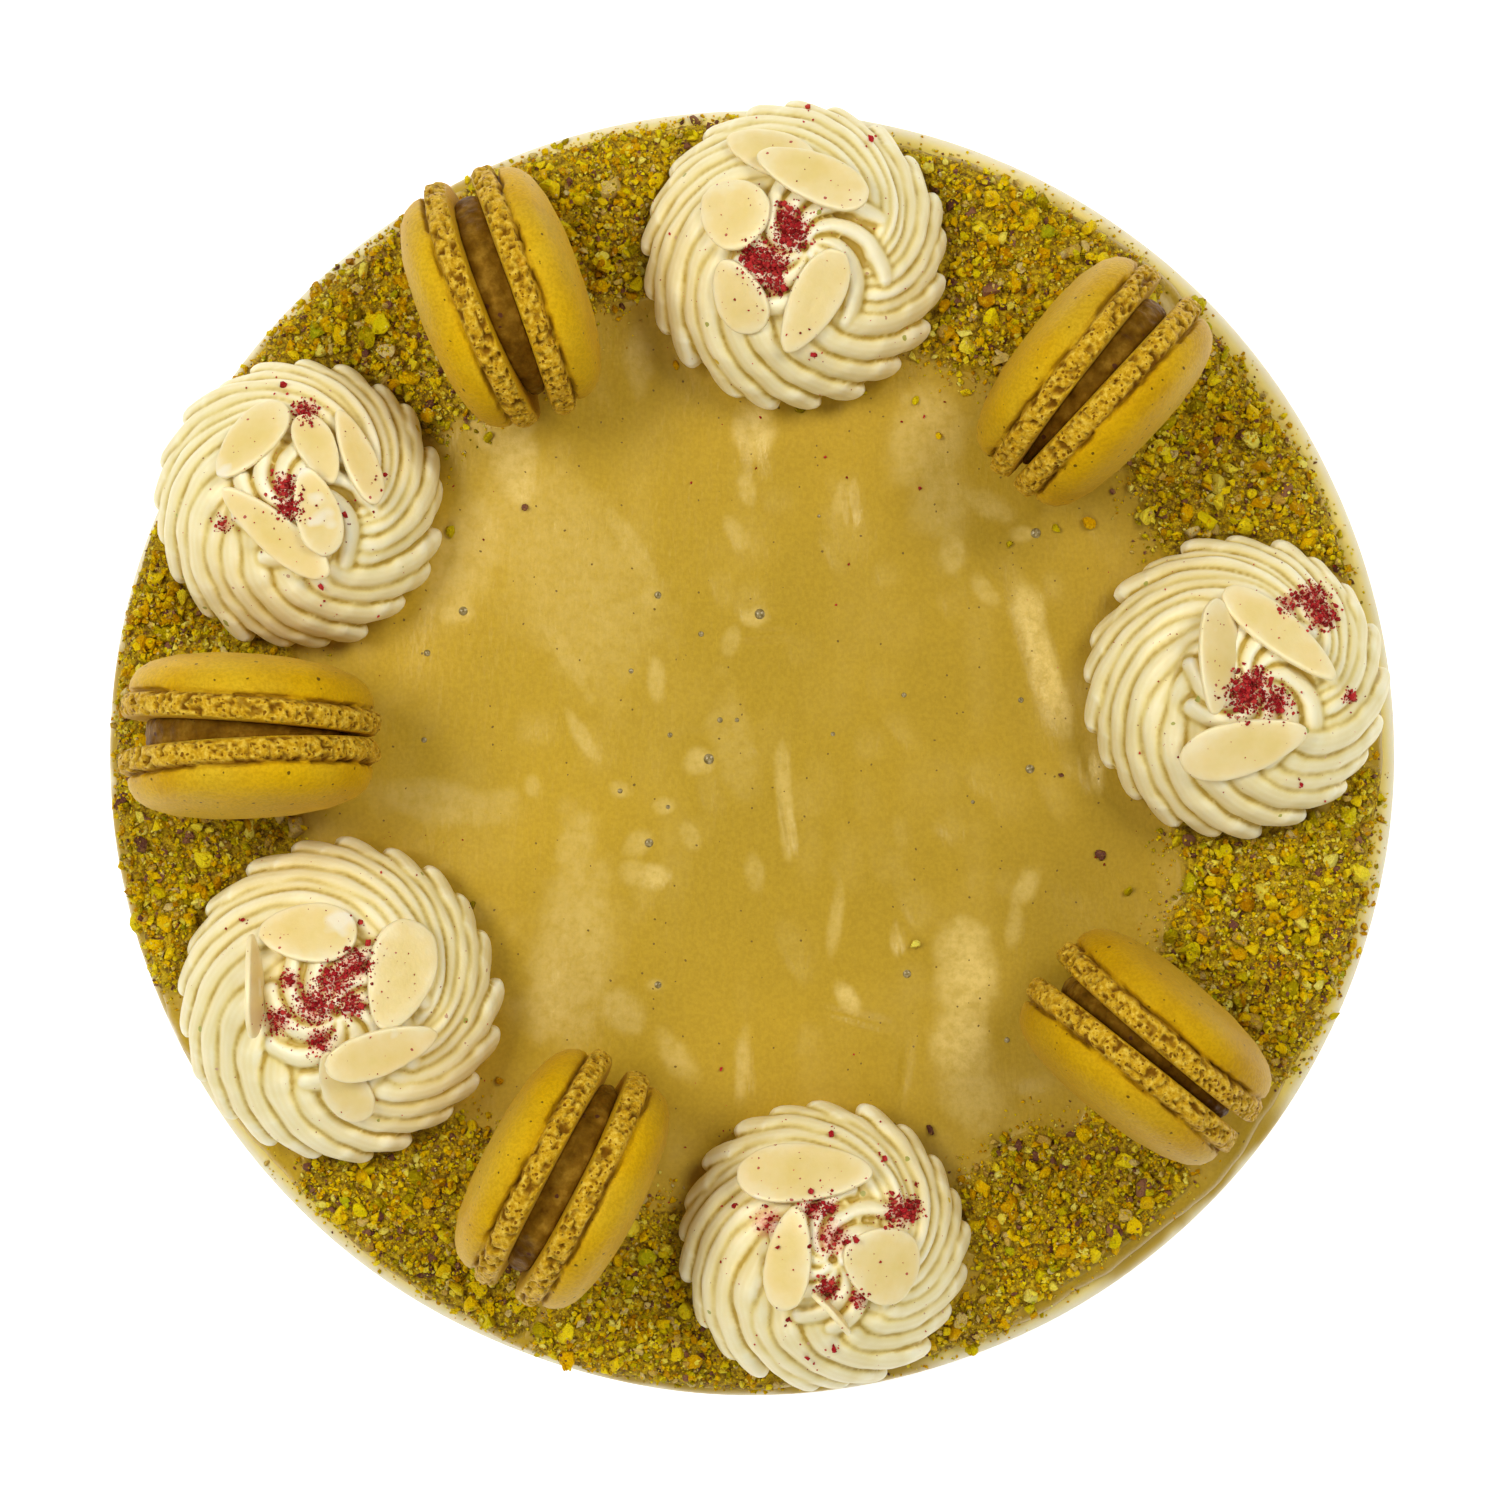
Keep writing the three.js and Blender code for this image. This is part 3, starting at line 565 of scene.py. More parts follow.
def crumb_cover(x, y, spread=0.0):
    """How thickly chopped pistachio covers each point, from 0 to 1, and how deep it lies."""
    points = in_plan(x, y)
    wander = 4.5 * cloudy(points, 10 * MM, 21) + 2 * cloudy(points, 4 * MM, 23)
    radius = np.hypot(x, y) + wander * MM
    angle = np.arctan2(y, x) + math.radians(3.5) * cloudy(points, 8 * MM, 22)
    cover = np.zeros(len(x))
    depth = np.zeros(len(x))
    for bank in CRUMB_BANKS:
        off = angle - math.radians(bank.middle)
        aside = np.abs(np.arctan2(np.sin(off), np.cos(off)))
        from_side = (math.radians(bank.half) - aside) * radius / MM + spread
        inward = ease((radius / MM - bank.inner + spread) / (6 + spread))
        outward = ease((bank.outer + 0.6 * spread - np.hypot(x, y) / MM) / (2.5 + spread))
        here = ease(from_side / (4 + spread)) * inward * outward
        cover = np.maximum(cover, here)
        depth = np.maximum(depth, bank.depth * here)
    return cover, depth * MM


def stroke(x, y, start, end, wide, uneven=0.0):
    """1 along a stroke on the glaze, fading to its sides and ends, steeper on one side."""
    run = (end - start) / 2
    half = np.hypot(*run)
    along = ((x - start[0] - run[0]) * run[0] + (y - start[1] - run[1]) * run[1]) / half
    aside = ((x - start[0] - run[0]) * run[1] - (y - start[1] - run[1]) * run[0]) / half
    spread = wide * MM * (1 + uneven * np.tanh(aside / (0.5 * wide * MM)))
    return np.exp(-np.abs(aside / spread) ** 2 - np.abs(along / (half + 0.4 * wide * MM)) ** 3)


def glaze_sheen_patches(x, y):
    """How much painted sheen the skin has at each point, from 0 to 1: pale patches in place of the
    lamps' reflection, and along the small dents.
    """
    points = in_plan(x, y)
    ragged = 1 + 0.25 * cloudy(points, 6 * MM, 51) + 0.16 * cloudy(points, 2.2 * MM, 52)
    pale = 0.16 * ease(cloudy(points * (1, 0.45, 1), 6 * MM, 53))
    for patch in SHEEN_PATCHES:
        off = np.stack((x, y), axis=1) - from_photo(patch.pixel)
        heading = math.radians(patch.heading)
        along = off @ (math.cos(heading), math.sin(heading)) / patch.half[0]
        aside = off @ (-math.sin(heading), math.cos(heading)) / patch.half[1]
        away = np.hypot(along, aside) * ragged / PHOTO_PIXEL
        pale = np.maximum(pale, patch.share * np.exp(-(0.95 * away) ** 5))
    for start, end, wide, deep in SMALL_DENTS:
        pale = np.maximum(pale, 1.8 * deep * stroke(x, y, start, end, wide, 0.35))
    return pale


def small_dents():
    """Ends, width and depth of the small seeded dents, most of them along the knife's way."""
    draw = np.random.default_rng(12)
    dents = []
    for _ in range(110):
        radius = 84 * MM * math.sqrt(draw.random())
        turn = 2 * math.pi * draw.random()
        middle = radius * spokes(turn)
        half = spokes(math.radians(draw.normal(104, 14)))
        half = draw.uniform(1.0, 4.4) * MM * half
        dents.append((middle - half, middle + half, draw.uniform(1.4, 3.0), draw.uniform(0.03, 0.12)))
    return dents


SMALL_DENTS = small_dents()


def glaze_relief(x, y):
    """Dents and creases in the skin of the glaze, nearly all of them downwards."""
    points = in_plan(x, y)
    outer = ease((np.hypot(x, y) / MM - 42) / 26)
    relief = -0.3 + (0.1 + 0.5 * outer) * cloudy(points, 15 * MM, 31)
    relief += (0.04 + 0.1 * outer) * cloudy(points, 6 * MM, 32)
    relief -= 0.3 * glaze_sheen_patches(x, y)
    for start, end, wide, deep in SMALL_DENTS:
        relief -= deep * wide * stroke(x, y, start, end, wide, 0.35)
    for crease in CREASES:
        start, end = from_photo(crease.start), from_photo(crease.end)
        heading = (end - start) / np.linalg.norm(end - start)
        aside = np.array((heading[1], -heading[0])) * crease.wide * MM
        relief -= crease.deep * stroke(x, y, start, end, crease.wide)
        relief += 0.4 * crease.deep * stroke(x, y, start + aside, end + aside, 0.5 * crease.wide)
    return np.minimum(relief, 0.3) * MM


def glaze_height(x, y):
    """Level of the top of the glaze and of the banks on it, dipping under the macarons."""
    cover, depth = crumb_cover(x, y)
    points = in_plan(x, y)
    rough = 0.5 + 0.45 * cloudy(points, 4.5 * MM, 41) + 0.3 * cloudy(points, 1.8 * MM, 42)
    level = glaze_level + glaze_relief(x, y) * (1 - 0.7 * cover) + 0.8 * depth * rough
    for rosette in rosettes:
        off = np.hypot(x - rosette["middle"][0], y - rosette["middle"][1]) - rosette["reach"]
        flat = glaze_level - 0.05 * MM
        level = np.where(off < 0, np.minimum(level, flat), level)
    for macaron in macarons:
        under, inside = under_macaron(x, y, macaron)
        level = np.where(inside > 0, np.minimum(level, under - 0.1 * MM), level)
    return level


def skin_faces(count, around, first):
    """Faces of a closed skin: rows of points, then a pole for the first and last row."""
    index = first + np.arange(count * around).reshape(count, around)
    after = np.roll(index, -1, axis=1)
    quads = np.stack((index[:-1], after[:-1], after[1:], index[1:]), axis=-1).reshape(-1, 4)
    low_pole = first + count * around
    bottom = [(low_pole, after[0, i], index[0, i]) for i in range(around)]
    top = [(index[-1, i], after[-1, i], low_pole + 1) for i in range(around)]
    return quads.tolist() + bottom + top


def skin_piece(name, skins):
    """One piece of closed skins, each a list of rows, its first pole and its last pole."""
    points, faces, count = [], [], 0
    for rows, first, last in skins:
        rows = np.asarray(rows)
        faces += skin_faces(rows.shape[0], rows.shape[1], count)
        points.append(np.vstack((rows.reshape(-1, 3), [first], [last])))
        count += len(points[-1])
    mesh = bpy.data.meshes.new(name)
    mesh.from_pydata(np.vstack(points).tolist(), [], faces)
    mesh.shade_smooth()
    return link_piece(name, mesh)


def glaze_sheet():
    """The glaze as rings from its underside, over the lip and in to the middle."""
    angle = np.linspace(0, 2 * math.pi, 560, endpoint=False)
    reach = glaze_reach(angle)
    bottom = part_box("pistachio_glaze")[0].z
    thickness = glaze_level - bottom
    rows = [ring_row(angle, reach - inset * MM, bottom + rise * thickness) for inset, rise in GLAZE_LIP]
    for share in np.concatenate((np.linspace(1, 0.72, 26), np.linspace(0.7145, 0.006, 118))):
        radius = (reach - 4 * MM) * share
        x, y = radius * np.cos(angle), radius * np.sin(angle)
        rows.append(np.stack((x, y, glaze_height(x, y)), axis=1))
    poles = ((0, 0, bottom), (0, 0, glaze_level - 0.3 * MM))
    sheet = skin_piece("pistachio_glaze_skin", [(rows, *poles)])
    points = points_of(sheet.data)
    store(sheet, "crumb_cover", crumb_cover(points[:, 0], points[:, 1], 1.5)[0])
    # Painted sheen, kept on the skin for the glaze's colour.
    store(sheet, "pale", glaze_sheen_patches(points[:, 0], points[:, 1]))
    return sheet


def glaze_bubbles():
    """Thin domes of the skin over air that rose and never broke, in one piece."""
    turn = np.linspace(0, 2 * math.pi, 18, endpoint=False)
    skins = []
    for bubble in BUBBLES:
        x, y = from_photo(bubble.pixel)
        size = bubble.radius * MM
        level = glaze_height(np.array([x]), np.array([y]))[0] + 0.03 * MM
        rows = [ring_row(turn, share * size, level + rise * size, (x, y))
                for share, rise in BUBBLE_PROFILE]
        skins.append((rows, (x, y, level - 0.35 * size), (x, y, level + 0.36 * size)))
    return skin_piece("glaze_bubbles", skins)


def bubble_material():
    material, tree, shader = new_material(
        "grey_bubble_film", 0.16, 0.1, (1, 0.9, 0.7), 0.001, tint=(1, 0.9, 0.65))
    cloud = object_noise(tree, 1400, 3)
    grey = ramp(tree, cloud, [
        (0.3, (0.13, 0.09, 0.02)), (0.5, (0.27, 0.2, 0.07)), (0.7, (0.44, 0.35, 0.17))])
    tree.links.new(grey, shader.inputs["Base Color"])
    add_bump(tree, shader, cloud, 0.0001, 0.4)
    return material


def glaze_tone(tree, paleness, meal, banked):
    """Colour of the glaze: painted shade darker to the right, painted sheen in pale patches, specked,
    meal in the banks with painted shade in its gaps.
    """
    golden, olive = (0.54, 0.335, 0.018), (0.465, 0.29, 0.015)
    tone = ramp(tree, object_noise(tree, 26, 3), [(0.35, olive), (0.68, golden)])
    grain = ramp(tree, object_noise(tree, 1500, 2), [
        (0.35, (0.36, 0.21, 0.004)), (0.65, (0.66, 0.43, 0.03))])
    tone = mix_colour(tree, 0.2, tone, grain)
    # Painted shade: the glaze darkens towards the right, where less light falls.
    aside = add_node(tree, "ShaderNodeSeparateXYZ", {0: object_place(tree)}).outputs["X"]
    right_side_shade = ramp(tree, rescaled(tree, aside, -0.08, 0.08), [
        (0.1, (1.05, 1.05, 1.0)), (0.95, (0.87, 0.86, 0.8))])
    tone = mix_colour(tree, 1.0, tone, right_side_shade, "MULTIPLY")
    # Painted sheen: paler in patches, in place of the lamps' reflection.
    tone = mix_colour(tree, paleness, tone, (0.76, 0.55, 0.15))
    tone = dotted(tree, tone, (0.17, 0.09, 0.01), (520, 0.1, 0.25), (240, 0.055, 0.25))
    # Pistachio meal under the banks, its darkest tones painted shade in the gaps between the crumbs.
    meal_with_gap_shade = ramp(tree, meal, [
        (0.3, (0.08, 0.035, 0.0003)), (0.44, (0.27, 0.15, 0.0003)),
        (0.54, (0.55, 0.35, 0.001)), (0.68, (0.8, 0.56, 0.01))])
    return mix_colour(tree, banked, tone, meal_with_gap_shade)


def knife_ripple(tree):
    """Fine ripples drawn out along the knife's way."""
    along_knife = add_node(tree, "ShaderNodeMapping", {
        "Vector": object_place(tree), "Rotation": (0, 0, math.radians(-35)), "Scale": (1, 0.35, 1)})
    inputs = {"Vector": along_knife.outputs[0], "Scale": 1100.0, "Detail": 3.0}
    return add_node(tree, "ShaderNodeTexNoise", inputs).outputs["Fac"]


def glaze_material():
    material, tree, shader = new_material(
        "satin_pistachio_glaze", 0.33, 0.05, (1, 0.7, 0.2), 0.002, tint=(1, 0.92, 0.6))
    # The painted sheen patches, made ragged by the wrinkles.
    pale = attribute(tree, "pale")
    cover = attribute(tree, "crumb_cover")
    banked = rescaled(tree, cover, 0.25, 0.6)
    meal = object_noise(tree, 900, 4, 0.7)
    wrinkle = object_noise(tree, 480, 5, 0.7)
    ragged = ramp(tree, wrinkle, [(0.36, (0.45, 0.45, 0.45)), (0.6, (1, 1, 1))])
    tone = glaze_tone(tree, maths(tree, "MULTIPLY", pale, ragged), meal, banked)
    tree.links.new(tone, shader.inputs["Base Color"])
    tree.links.new(rescaled(tree, cover, 0.2, 0.6, 0.33, 0.8), shader.inputs["Roughness"])
    add_bump(tree, shader, knife_ripple(tree), 0.0002, 0.4)
    add_bump(tree, shader, object_noise(tree, 210, 3), 0.0008, 0.16)
    add_bump(tree, shader, maths(tree, "MULTIPLY", wrinkle, pale), 0.0007, 0.35)
    add_bump(tree, shader, maths(tree, "MULTIPLY", meal, banked), 0.0012, 0.9)
    return material


glaze_skin = glaze_sheet()
finish_piece(glaze_skin, glaze_material(), "pistachio_glaze", "pistachio_glaze")
finish_piece(glaze_bubbles(), bubble_material(), "pistachio_glaze")


# Macaron shells
# Baked almond meringue, mustard yellow: a smooth matt dome over a foot that rose in the oven,
# ruffled and full of pores, with cracks where the dome tore from it. Each is one spun profile,
# roughened with its own noise and set in the place of its solid.

# Radius and height in mm, from the middle of the flat face over the foot to the top.
SHELL_PROFILE = [
    (0, 0), (20.2, 0), (21.7, 0.1), (22.3, 0.8), (22.5, 2.2), (22.3, 3.6), (21.5, 4.2),
    (20.9, 4.5), (21.2, 5.1), (21.0, 6.6), (20.0, 8.4), (17.9, 10.0), (14.0, 11.35),
    (8.0, 12.25), (3.0, 12.48), (0, 12.5),
]

# Pixels of the deep holes in the foot of macaron 2, and how much painted shade darkens each macaron,
# most on the right.
SHELL_HOLES = [(521, 262), (550, 338)]
SHELL_SHADE = [0.0, 0.0, 0.15, 0.35, 0.08]


def rounded_line(corners, stations, window):
    """Points at shares of the length of a broken line whose corners are rounded."""
    corners = np.asarray(corners, dtype=float)
    length = np.concatenate(([0], np.cumsum(np.hypot(*np.diff(corners, axis=0).T))))
    dense = np.linspace(0, length[-1], 1200)
    half = int(window / length[-1] * len(dense) / 2)
    kernel = np.ones(2 * half + 1) / (2 * half + 1)
    line = []
    for axis in (0, 1):
        values = np.interp(dense, length, corners[:, axis])
        before = 2 * values[0] - values[half:0:-1]
        after = 2 * values[-1] - values[-2:-half - 2:-1]
        smooth = np.convolve(np.concatenate((before, values, after)), kernel, "valid")
        line.append(np.interp(stations * length[-1], dense, smooth))
    return np.stack(line, axis=1)


def spun(name, line, steps):
    """A closed piece spun round its Z axis from a line of radius and height."""
    mesh = bpy.data.meshes.new(name)
    edges = [(i, i + 1) for i in range(len(line) - 1)]
    mesh.from_pydata([(radius, 0, height) for radius, height in line], edges, [])
    piece = link_piece(name, mesh)
    make_active(piece)
    bpy.ops.object.mode_set(mode="EDIT")
    bpy.ops.mesh.select_all(action="SELECT")
    bpy.ops.mesh.spin(steps=steps, angle=2 * math.pi, center=(0, 0, 0), axis=(0, 0, 1))
    bpy.ops.mesh.select_all(action="SELECT")
    bpy.ops.mesh.remove_doubles(threshold=0.000001)
    bpy.ops.mesh.normals_make_consistent(inside=False)
    bpy.ops.object.mode_set(mode="OBJECT")
    return piece


def shell_blank():
    """The smooth shell, its flat face on the origin and its dome up, with a fine foot."""
    face = np.linspace(0, 0.4, 5)[:-1]
    foot = np.linspace(0.4, 0.535, 19)[:-1]
    dome = np.linspace(0.535, 1, 22)
    line = rounded_line(SHELL_PROFILE, np.concatenate((face, foot, dome)), 0.5) * MM
    line[[0, -1], 0] = 0
    return spun("shell_blank", line, 340)


def baked(points, seed):
    """Roughens the foot of a shell: its new points, and how open each pore is."""
    radius = np.maximum(np.hypot(points[:, 0], points[:, 1]), MM)
    height = points[:, 2] / MM
    outward = points[:, :2] / radius[:, None]
    rim = ease((radius / MM - 20) / 1.2)
    foot = ease((height - 0.05) / 0.5) * ease((4.5 - height) / 0.5) * rim
    ruffle = 0.35 * cloudy(points, 5 * MM, seed) + 0.26 * cloudy(points, 1.9 * MM, seed + 1)
    grain = 0.24 * cloudy(points, 0.85 * MM, seed + 2)
    hollow = cloudy(points * (1, 1, 1.4), 1.15 * MM, seed + 3)
    small = cloudy(points, 0.75 * MM, seed + 7)
    pore = np.maximum(ease((hollow - 0.3) / 0.3), 0.7 * ease((small - 0.3) / 0.3)) * foot
    along = in_plan(*outward.T) * macaron_radius
    torn = 0.25 + 0.75 * ease((cloudy(along, 3.2 * MM, seed + 4) + 0.4) / 0.5)
    waver = 0.35 * cloudy(along, 1.6 * MM, seed + 5)
    crack = np.exp(-(((height - 4.5 + waver) / 0.33) ** 2)) * rim * torn
    swell = 0.12 * cloudy(points, 9 * MM, seed + 6) * (1 - foot)
    shift = (ruffle + grain - 0.1) * foot - 1.05 * pore - 1.4 * crack + swell
    moved = points.copy()
    moved[:, :2] += outward * (shift * MM * rim)[:, None]
    moved[:, 2] += (0.35 * grain * foot + swell * (1 - rim)) * MM
    return moved, np.clip(pore + 0.9 * crack, 0, 1), foot


def set_in_place(points, place):
    """Turns points from a shell's own frame to where its solid stands."""
    axis = Vector(place["axis"])
    turn = np.array(axis.to_track_quat("Z", "Y").to_matrix())
    return points @ turn.T + place["face"]


def dome_tone(tree, skin):
    """Colour of a dome: mustard, with painted sheen in paler patches, painted shade on some, powdery
    and specked.
    """
    dome = ramp(tree, object_noise(tree, 90, 3), [
        (0.3, (0.58, 0.315, 0.001)), (0.5, (0.66, 0.375, 0.001)), (0.7, (0.72, 0.43, 0.004))])
    # Painted sheen: greyer, paler patches at random over the dome.
    dome_sheen = ramp(tree, object_noise(tree, 48, 2), [(0.46, (0, 0, 0)), (0.66, (0.6, 0.6, 0.6))])
    dome = mix_colour(tree, dome_sheen, dome, (0.62, 0.4, 0.02))
    # Painted shade: some macarons darker and browner, as if less lit.
    dome = mix_colour(tree, attribute(tree, "macaron_shade"), dome, (0.4, 0.2, 0.0005))
    powder = ramp(tree, skin, [(0.4, (0.88, 0.85, 0.7)), (0.58, (1.03, 1.03, 1.1))])
    dome = mix_colour(tree, 1.0, dome, powder, "MULTIPLY")
    return dotted(tree, dome, (0.13, 0.06, 0.002),
                  (560, 0.12, 0.3), (330, 0.1, 0.3), (200, 0.07, 0.3))


def macaron_shell_material():
    material, tree, shader = new_material(
        "baked_macaron_shell", 0.52, 0.06, (1, 0.6, 0.2), 0.002, 0.35, (1, 0.8, 0.12))
    shader.inputs["Sheen Weight"].default_value = 0.04
    shader.inputs["Sheen Roughness"].default_value = 0.45
    shader.inputs["Sheen Tint"].default_value = (1, 0.85, 0.4, 1)
    skin = object_noise(tree, 1700, 3, 0.6)
    crumb = object_noise(tree, 1100, 4, 0.65)
    foot = attribute(tree, "foot")
    foot_tone = ramp(tree, crumb, [
        (0.3, (0.4, 0.18, 0.002)), (0.48, (0.64, 0.36, 0.012)), (0.68, (0.86, 0.59, 0.08))])
    tone = mix_colour(tree, foot, dome_tone(tree, skin), foot_tone)
    # Painted shade: dark specks for small holes in the foot, and darker in its open pores and cracks.
    for scale, size, share in ((850, 0.27, 0.45), (1300, 0.24, 0.35)):
        hole = maths(tree, "MULTIPLY", specks(tree, scale, size, share), foot)
        tone = mix_colour(tree, hole, tone, (0.22, 0.08, 0.002))
    tone = mix_colour(tree, attribute(tree, "pore"), tone, (0.2, 0.075, 0.002))
    tree.links.new(tone, shader.inputs["Base Color"])
    add_bump(tree, shader, skin, 0.0003, 0.5)
    add_bump(tree, shader, maths(tree, "MULTIPLY", crumb, foot), 0.0005, 0.8)
    return material


def poke_holes(points, place):
    """Pushes in the foot where the photo shows a deep hole in the shell's rim."""
    depth, wide = 1.8 * MM, 0.95 * MM
    for pixel in SHELL_HOLES:
        level = place["face"][2] + macaron_radius
        seen = from_photo(pixel) * (1 - (level - glaze_level) / camera_height)
        off = np.hypot(points[:, 0] - seen[0], points[:, 1] - seen[1])
        points[:, 2] -= depth * np.exp(-((off / wide) ** 4)) * (points[:, 2] > place["face"][2])
    return points


blank = shell_blank()
blank_points = points_of(blank.data)
shell_finish = macaron_shell_material()
for number, macaron in enumerate(macarons, 1):
    for side, place in macaron.items():
        seed = 10 * (2 * number + (side == "b"))
        moved, pore, foot = baked(blank_points, seed)
        shell = link_piece(f"macaron_{number}_baked_{side}", blank.data.copy())
        placed = set_in_place(moved, place)
        if number == 2:
            placed = poke_holes(placed, place)
        move_points(shell, placed)
        store(shell, "pore", pore)
        store(shell, "foot", foot)
        store(shell, "macaron_shade", np.full(len(foot), SHELL_SHADE[number - 1]))
        shell.data.shade_smooth()
        finish_piece(shell, shell_finish, "macaron_shell", f"macaron_{number}_shell_{side}")
bpy.data.objects.remove(blank)


# Macaron fillings
# Soft brown caramel cream squeezed between the two shells. It ends a few millimetres inside
# their rims in an uneven bulge with fine streaks, and it is as thick as the gap is wide.

# Radius of a filling in mm.
FILLING_RADIUS = 17.6


def level_on(place, start, direction):
    """How far along a direction each starting point meets the flat face of a shell."""
    return (place["face"] - start) @ place["axis"] / (direction @ place["axis"])


def caramel_disc(number, macaron):
    """A disc that fills the wedge between two shell faces, with a bulging uneven edge."""
    around = 260
    middle = (macaron["a"]["face"] + macaron["b"]["face"]) / 2
    across = macaron["a"]["axis"] - macaron["b"]["axis"]
    across = across / np.linalg.norm(across)
    side = np.cross(across, (0, 0, 1))
    side = side / np.linalg.norm(side)
    up = np.cross(side, across)
    angle = np.linspace(0, 2 * math.pi, around, endpoint=False)
    spoke = np.cos(angle)[:, None] * side + np.sin(angle)[:, None] * up
    ring = FILLING_RADIUS * MM * spoke
    wander = 0.5 * cloudy(ring, 6 * MM, 60 + number) + 0.25 * cloudy(ring, 2 * MM, 70 + number)
    shares = np.concatenate(([0.001], np.linspace(0.04, 0.96, 16), [0.999]))
    rows = []
    for share in shares:
        bulge = 0.8 * math.sqrt(max(1 - (2 * share - 1) ** 2, 0)) - 0.5
        reach = (FILLING_RADIUS + bulge + wander) * MM
        start = middle + spoke * reach[:, None]
        near = np.array([level_on(macaron["b"], point, across) for point in start])
        far = np.array([level_on(macaron["a"], point, across) for point in start])
        depth = near + share * (far - near)
        point = start + across * depth[:, None]
        streak = 0.22 * cloudy(point, 1.4 * MM, 80 + number) + 0.12 * cloudy(point, 0.7 * MM, 90)
        rows.append(point + spoke * (streak * MM)[:, None])
    skin = (rows, macaron["b"]["face"], macaron["a"]["face"])
    return skin_piece(f"macaron_{number}_caramel", [skin])


def caramel_material():
    material, tree, shader = new_material(
        "caramel_filling", 0.48, 0.15, (1, 0.5, 0.2), 0.002, 0.06, (1, 0.72, 0.3))
    brown = ramp(tree, object_noise(tree, 300, 4, 0.65), [
        (0.3, (0.11, 0.045, 0.002)), (0.52, (0.21, 0.1, 0.006)), (0.72, (0.36, 0.2, 0.02))])
    tone = dotted(tree, brown, (0.1, 0.035, 0.015), (420, 0.2, 0.25))
    tree.links.new(tone, shader.inputs["Base Color"])
    add_bump(tree, shader, object_noise(tree, 1300, 4, 0.6), 0.0003, 0.6)
    return material


caramel_finish = caramel_material()
for number, macaron in enumerate(macarons, 1):
    filling = caramel_disc(number, macaron)
    finish_piece(filling, caramel_finish, "macaron_filling", f"macaron_{number}_filling")


# Cream rosettes
# Pale yellow cream piped through a star nozzle held upright: each tooth leaves a rope that
# starts as a tongue at the foot and winds inwards clockwise, flat round the left and steep on
# the right. A smaller swirl lies on top, wound the other way. The ropes are fused to a core.

# Outline of a swirl from its foot to its peak, in shares of its reach and height.
ROSETTE_PROFILE = [
    (0.9, 0), (0.99, 0.1), (1, 0.21), (0.95, 0.37), (0.85, 0.53), (0.7, 0.69), (0.51, 0.83),
    (0.31, 0.93), (0.12, 0.985), (0, 1),
]

# The heading in degrees towards which the ropes of each rosette hook most tightly.
ROSETTE_HOOKS = [-19, -5, -12, -42, -14]

# How many ropes the lower and the upper swirl have, and how many points go round a rope.
OUTER_ROPES = 21
INNER_ROPES = 9
ROPE_SIDES = 16

# Heaps of red berry: pixel, spread in pixels and number of bits.
Cluster = namedtuple("Cluster", "pixel wide bits")
BERRY_CLUSTERS = [
    Cluster((788, 216), 11, 200), Cluster((792, 232), 15, 620), Cluster((768, 262), 18, 720),
    Cluster((750, 258), 8, 180), Cluster((775, 284), 10, 170), Cluster((1246, 694), 15, 760),
    Cluster((1256, 680), 11, 240), Cluster((1276, 702), 13, 330), Cluster((1312, 598), 14, 380),
    Cluster((1322, 616), 13, 360), Cluster((1288, 604), 9, 90), Cluster((1350, 697), 6, 60),
    Cluster((812, 1210), 10, 130), Cluster((830, 1208), 8, 110), Cluster((832, 1238), 16, 190),
    Cluster((828, 1288), 9, 210), Cluster((858, 1300), 8, 90), Cluster((900, 1212), 13, 330),
    Cluster((913, 1208), 9, 140), Cluster((768, 1222), 14, 60), Cluster((355, 965), 14, 360),
    Cluster((335, 982), 16, 420), Cluster((316, 1006), 17, 520), Cluster((352, 1004), 12, 280),
    Cluster((290, 980), 9, 120), Cluster((278, 1020), 12, 220), Cluster((320, 1040), 12, 200),
    Cluster((306, 412), 11, 210), Cluster((284, 486), 11, 230), Cluster((288, 508), 10, 290),
    Cluster((224, 525), 6, 50),
]


def dome_profile():
    """The reach and rise of the swirl's outline from its foot to its peak."""
    line = rounded_line(ROSETTE_PROFILE, np.linspace(0, 1, 240), 0.06)
    line[-1] = (0, 1)
    return line


dome_line = dome_profile()
widest = int(np.argmax(dome_line[:, 0]))
crown = dome_line[widest:][::-1]
crown_slope = np.gradient(crown[:, 1], crown[:, 0])


def on_dome(place, plan):
    """The outline's level and outward direction over points in plan."""
    off = plan - place["middle"]
    away = np.linalg.norm(off, axis=-1)
    share = np.clip(away / place["reach"], 0, 1)
    level = place["low"] + place["height"] * np.interp(share, crown[:, 0], crown[:, 1])
    slope = np.interp(share, crown[:, 0], crown_slope) * place["height"] / place["reach"]
    heading = off / np.maximum(away, 1e-9)[..., None]
    normal = np.concatenate((-slope[..., None] * heading, np.ones_like(away)[..., None]), axis=-1)
    normal /= np.linalg.norm(normal, axis=-1, keepdims=True)
    return np.concatenate((plan, level[..., None]), axis=-1), normal


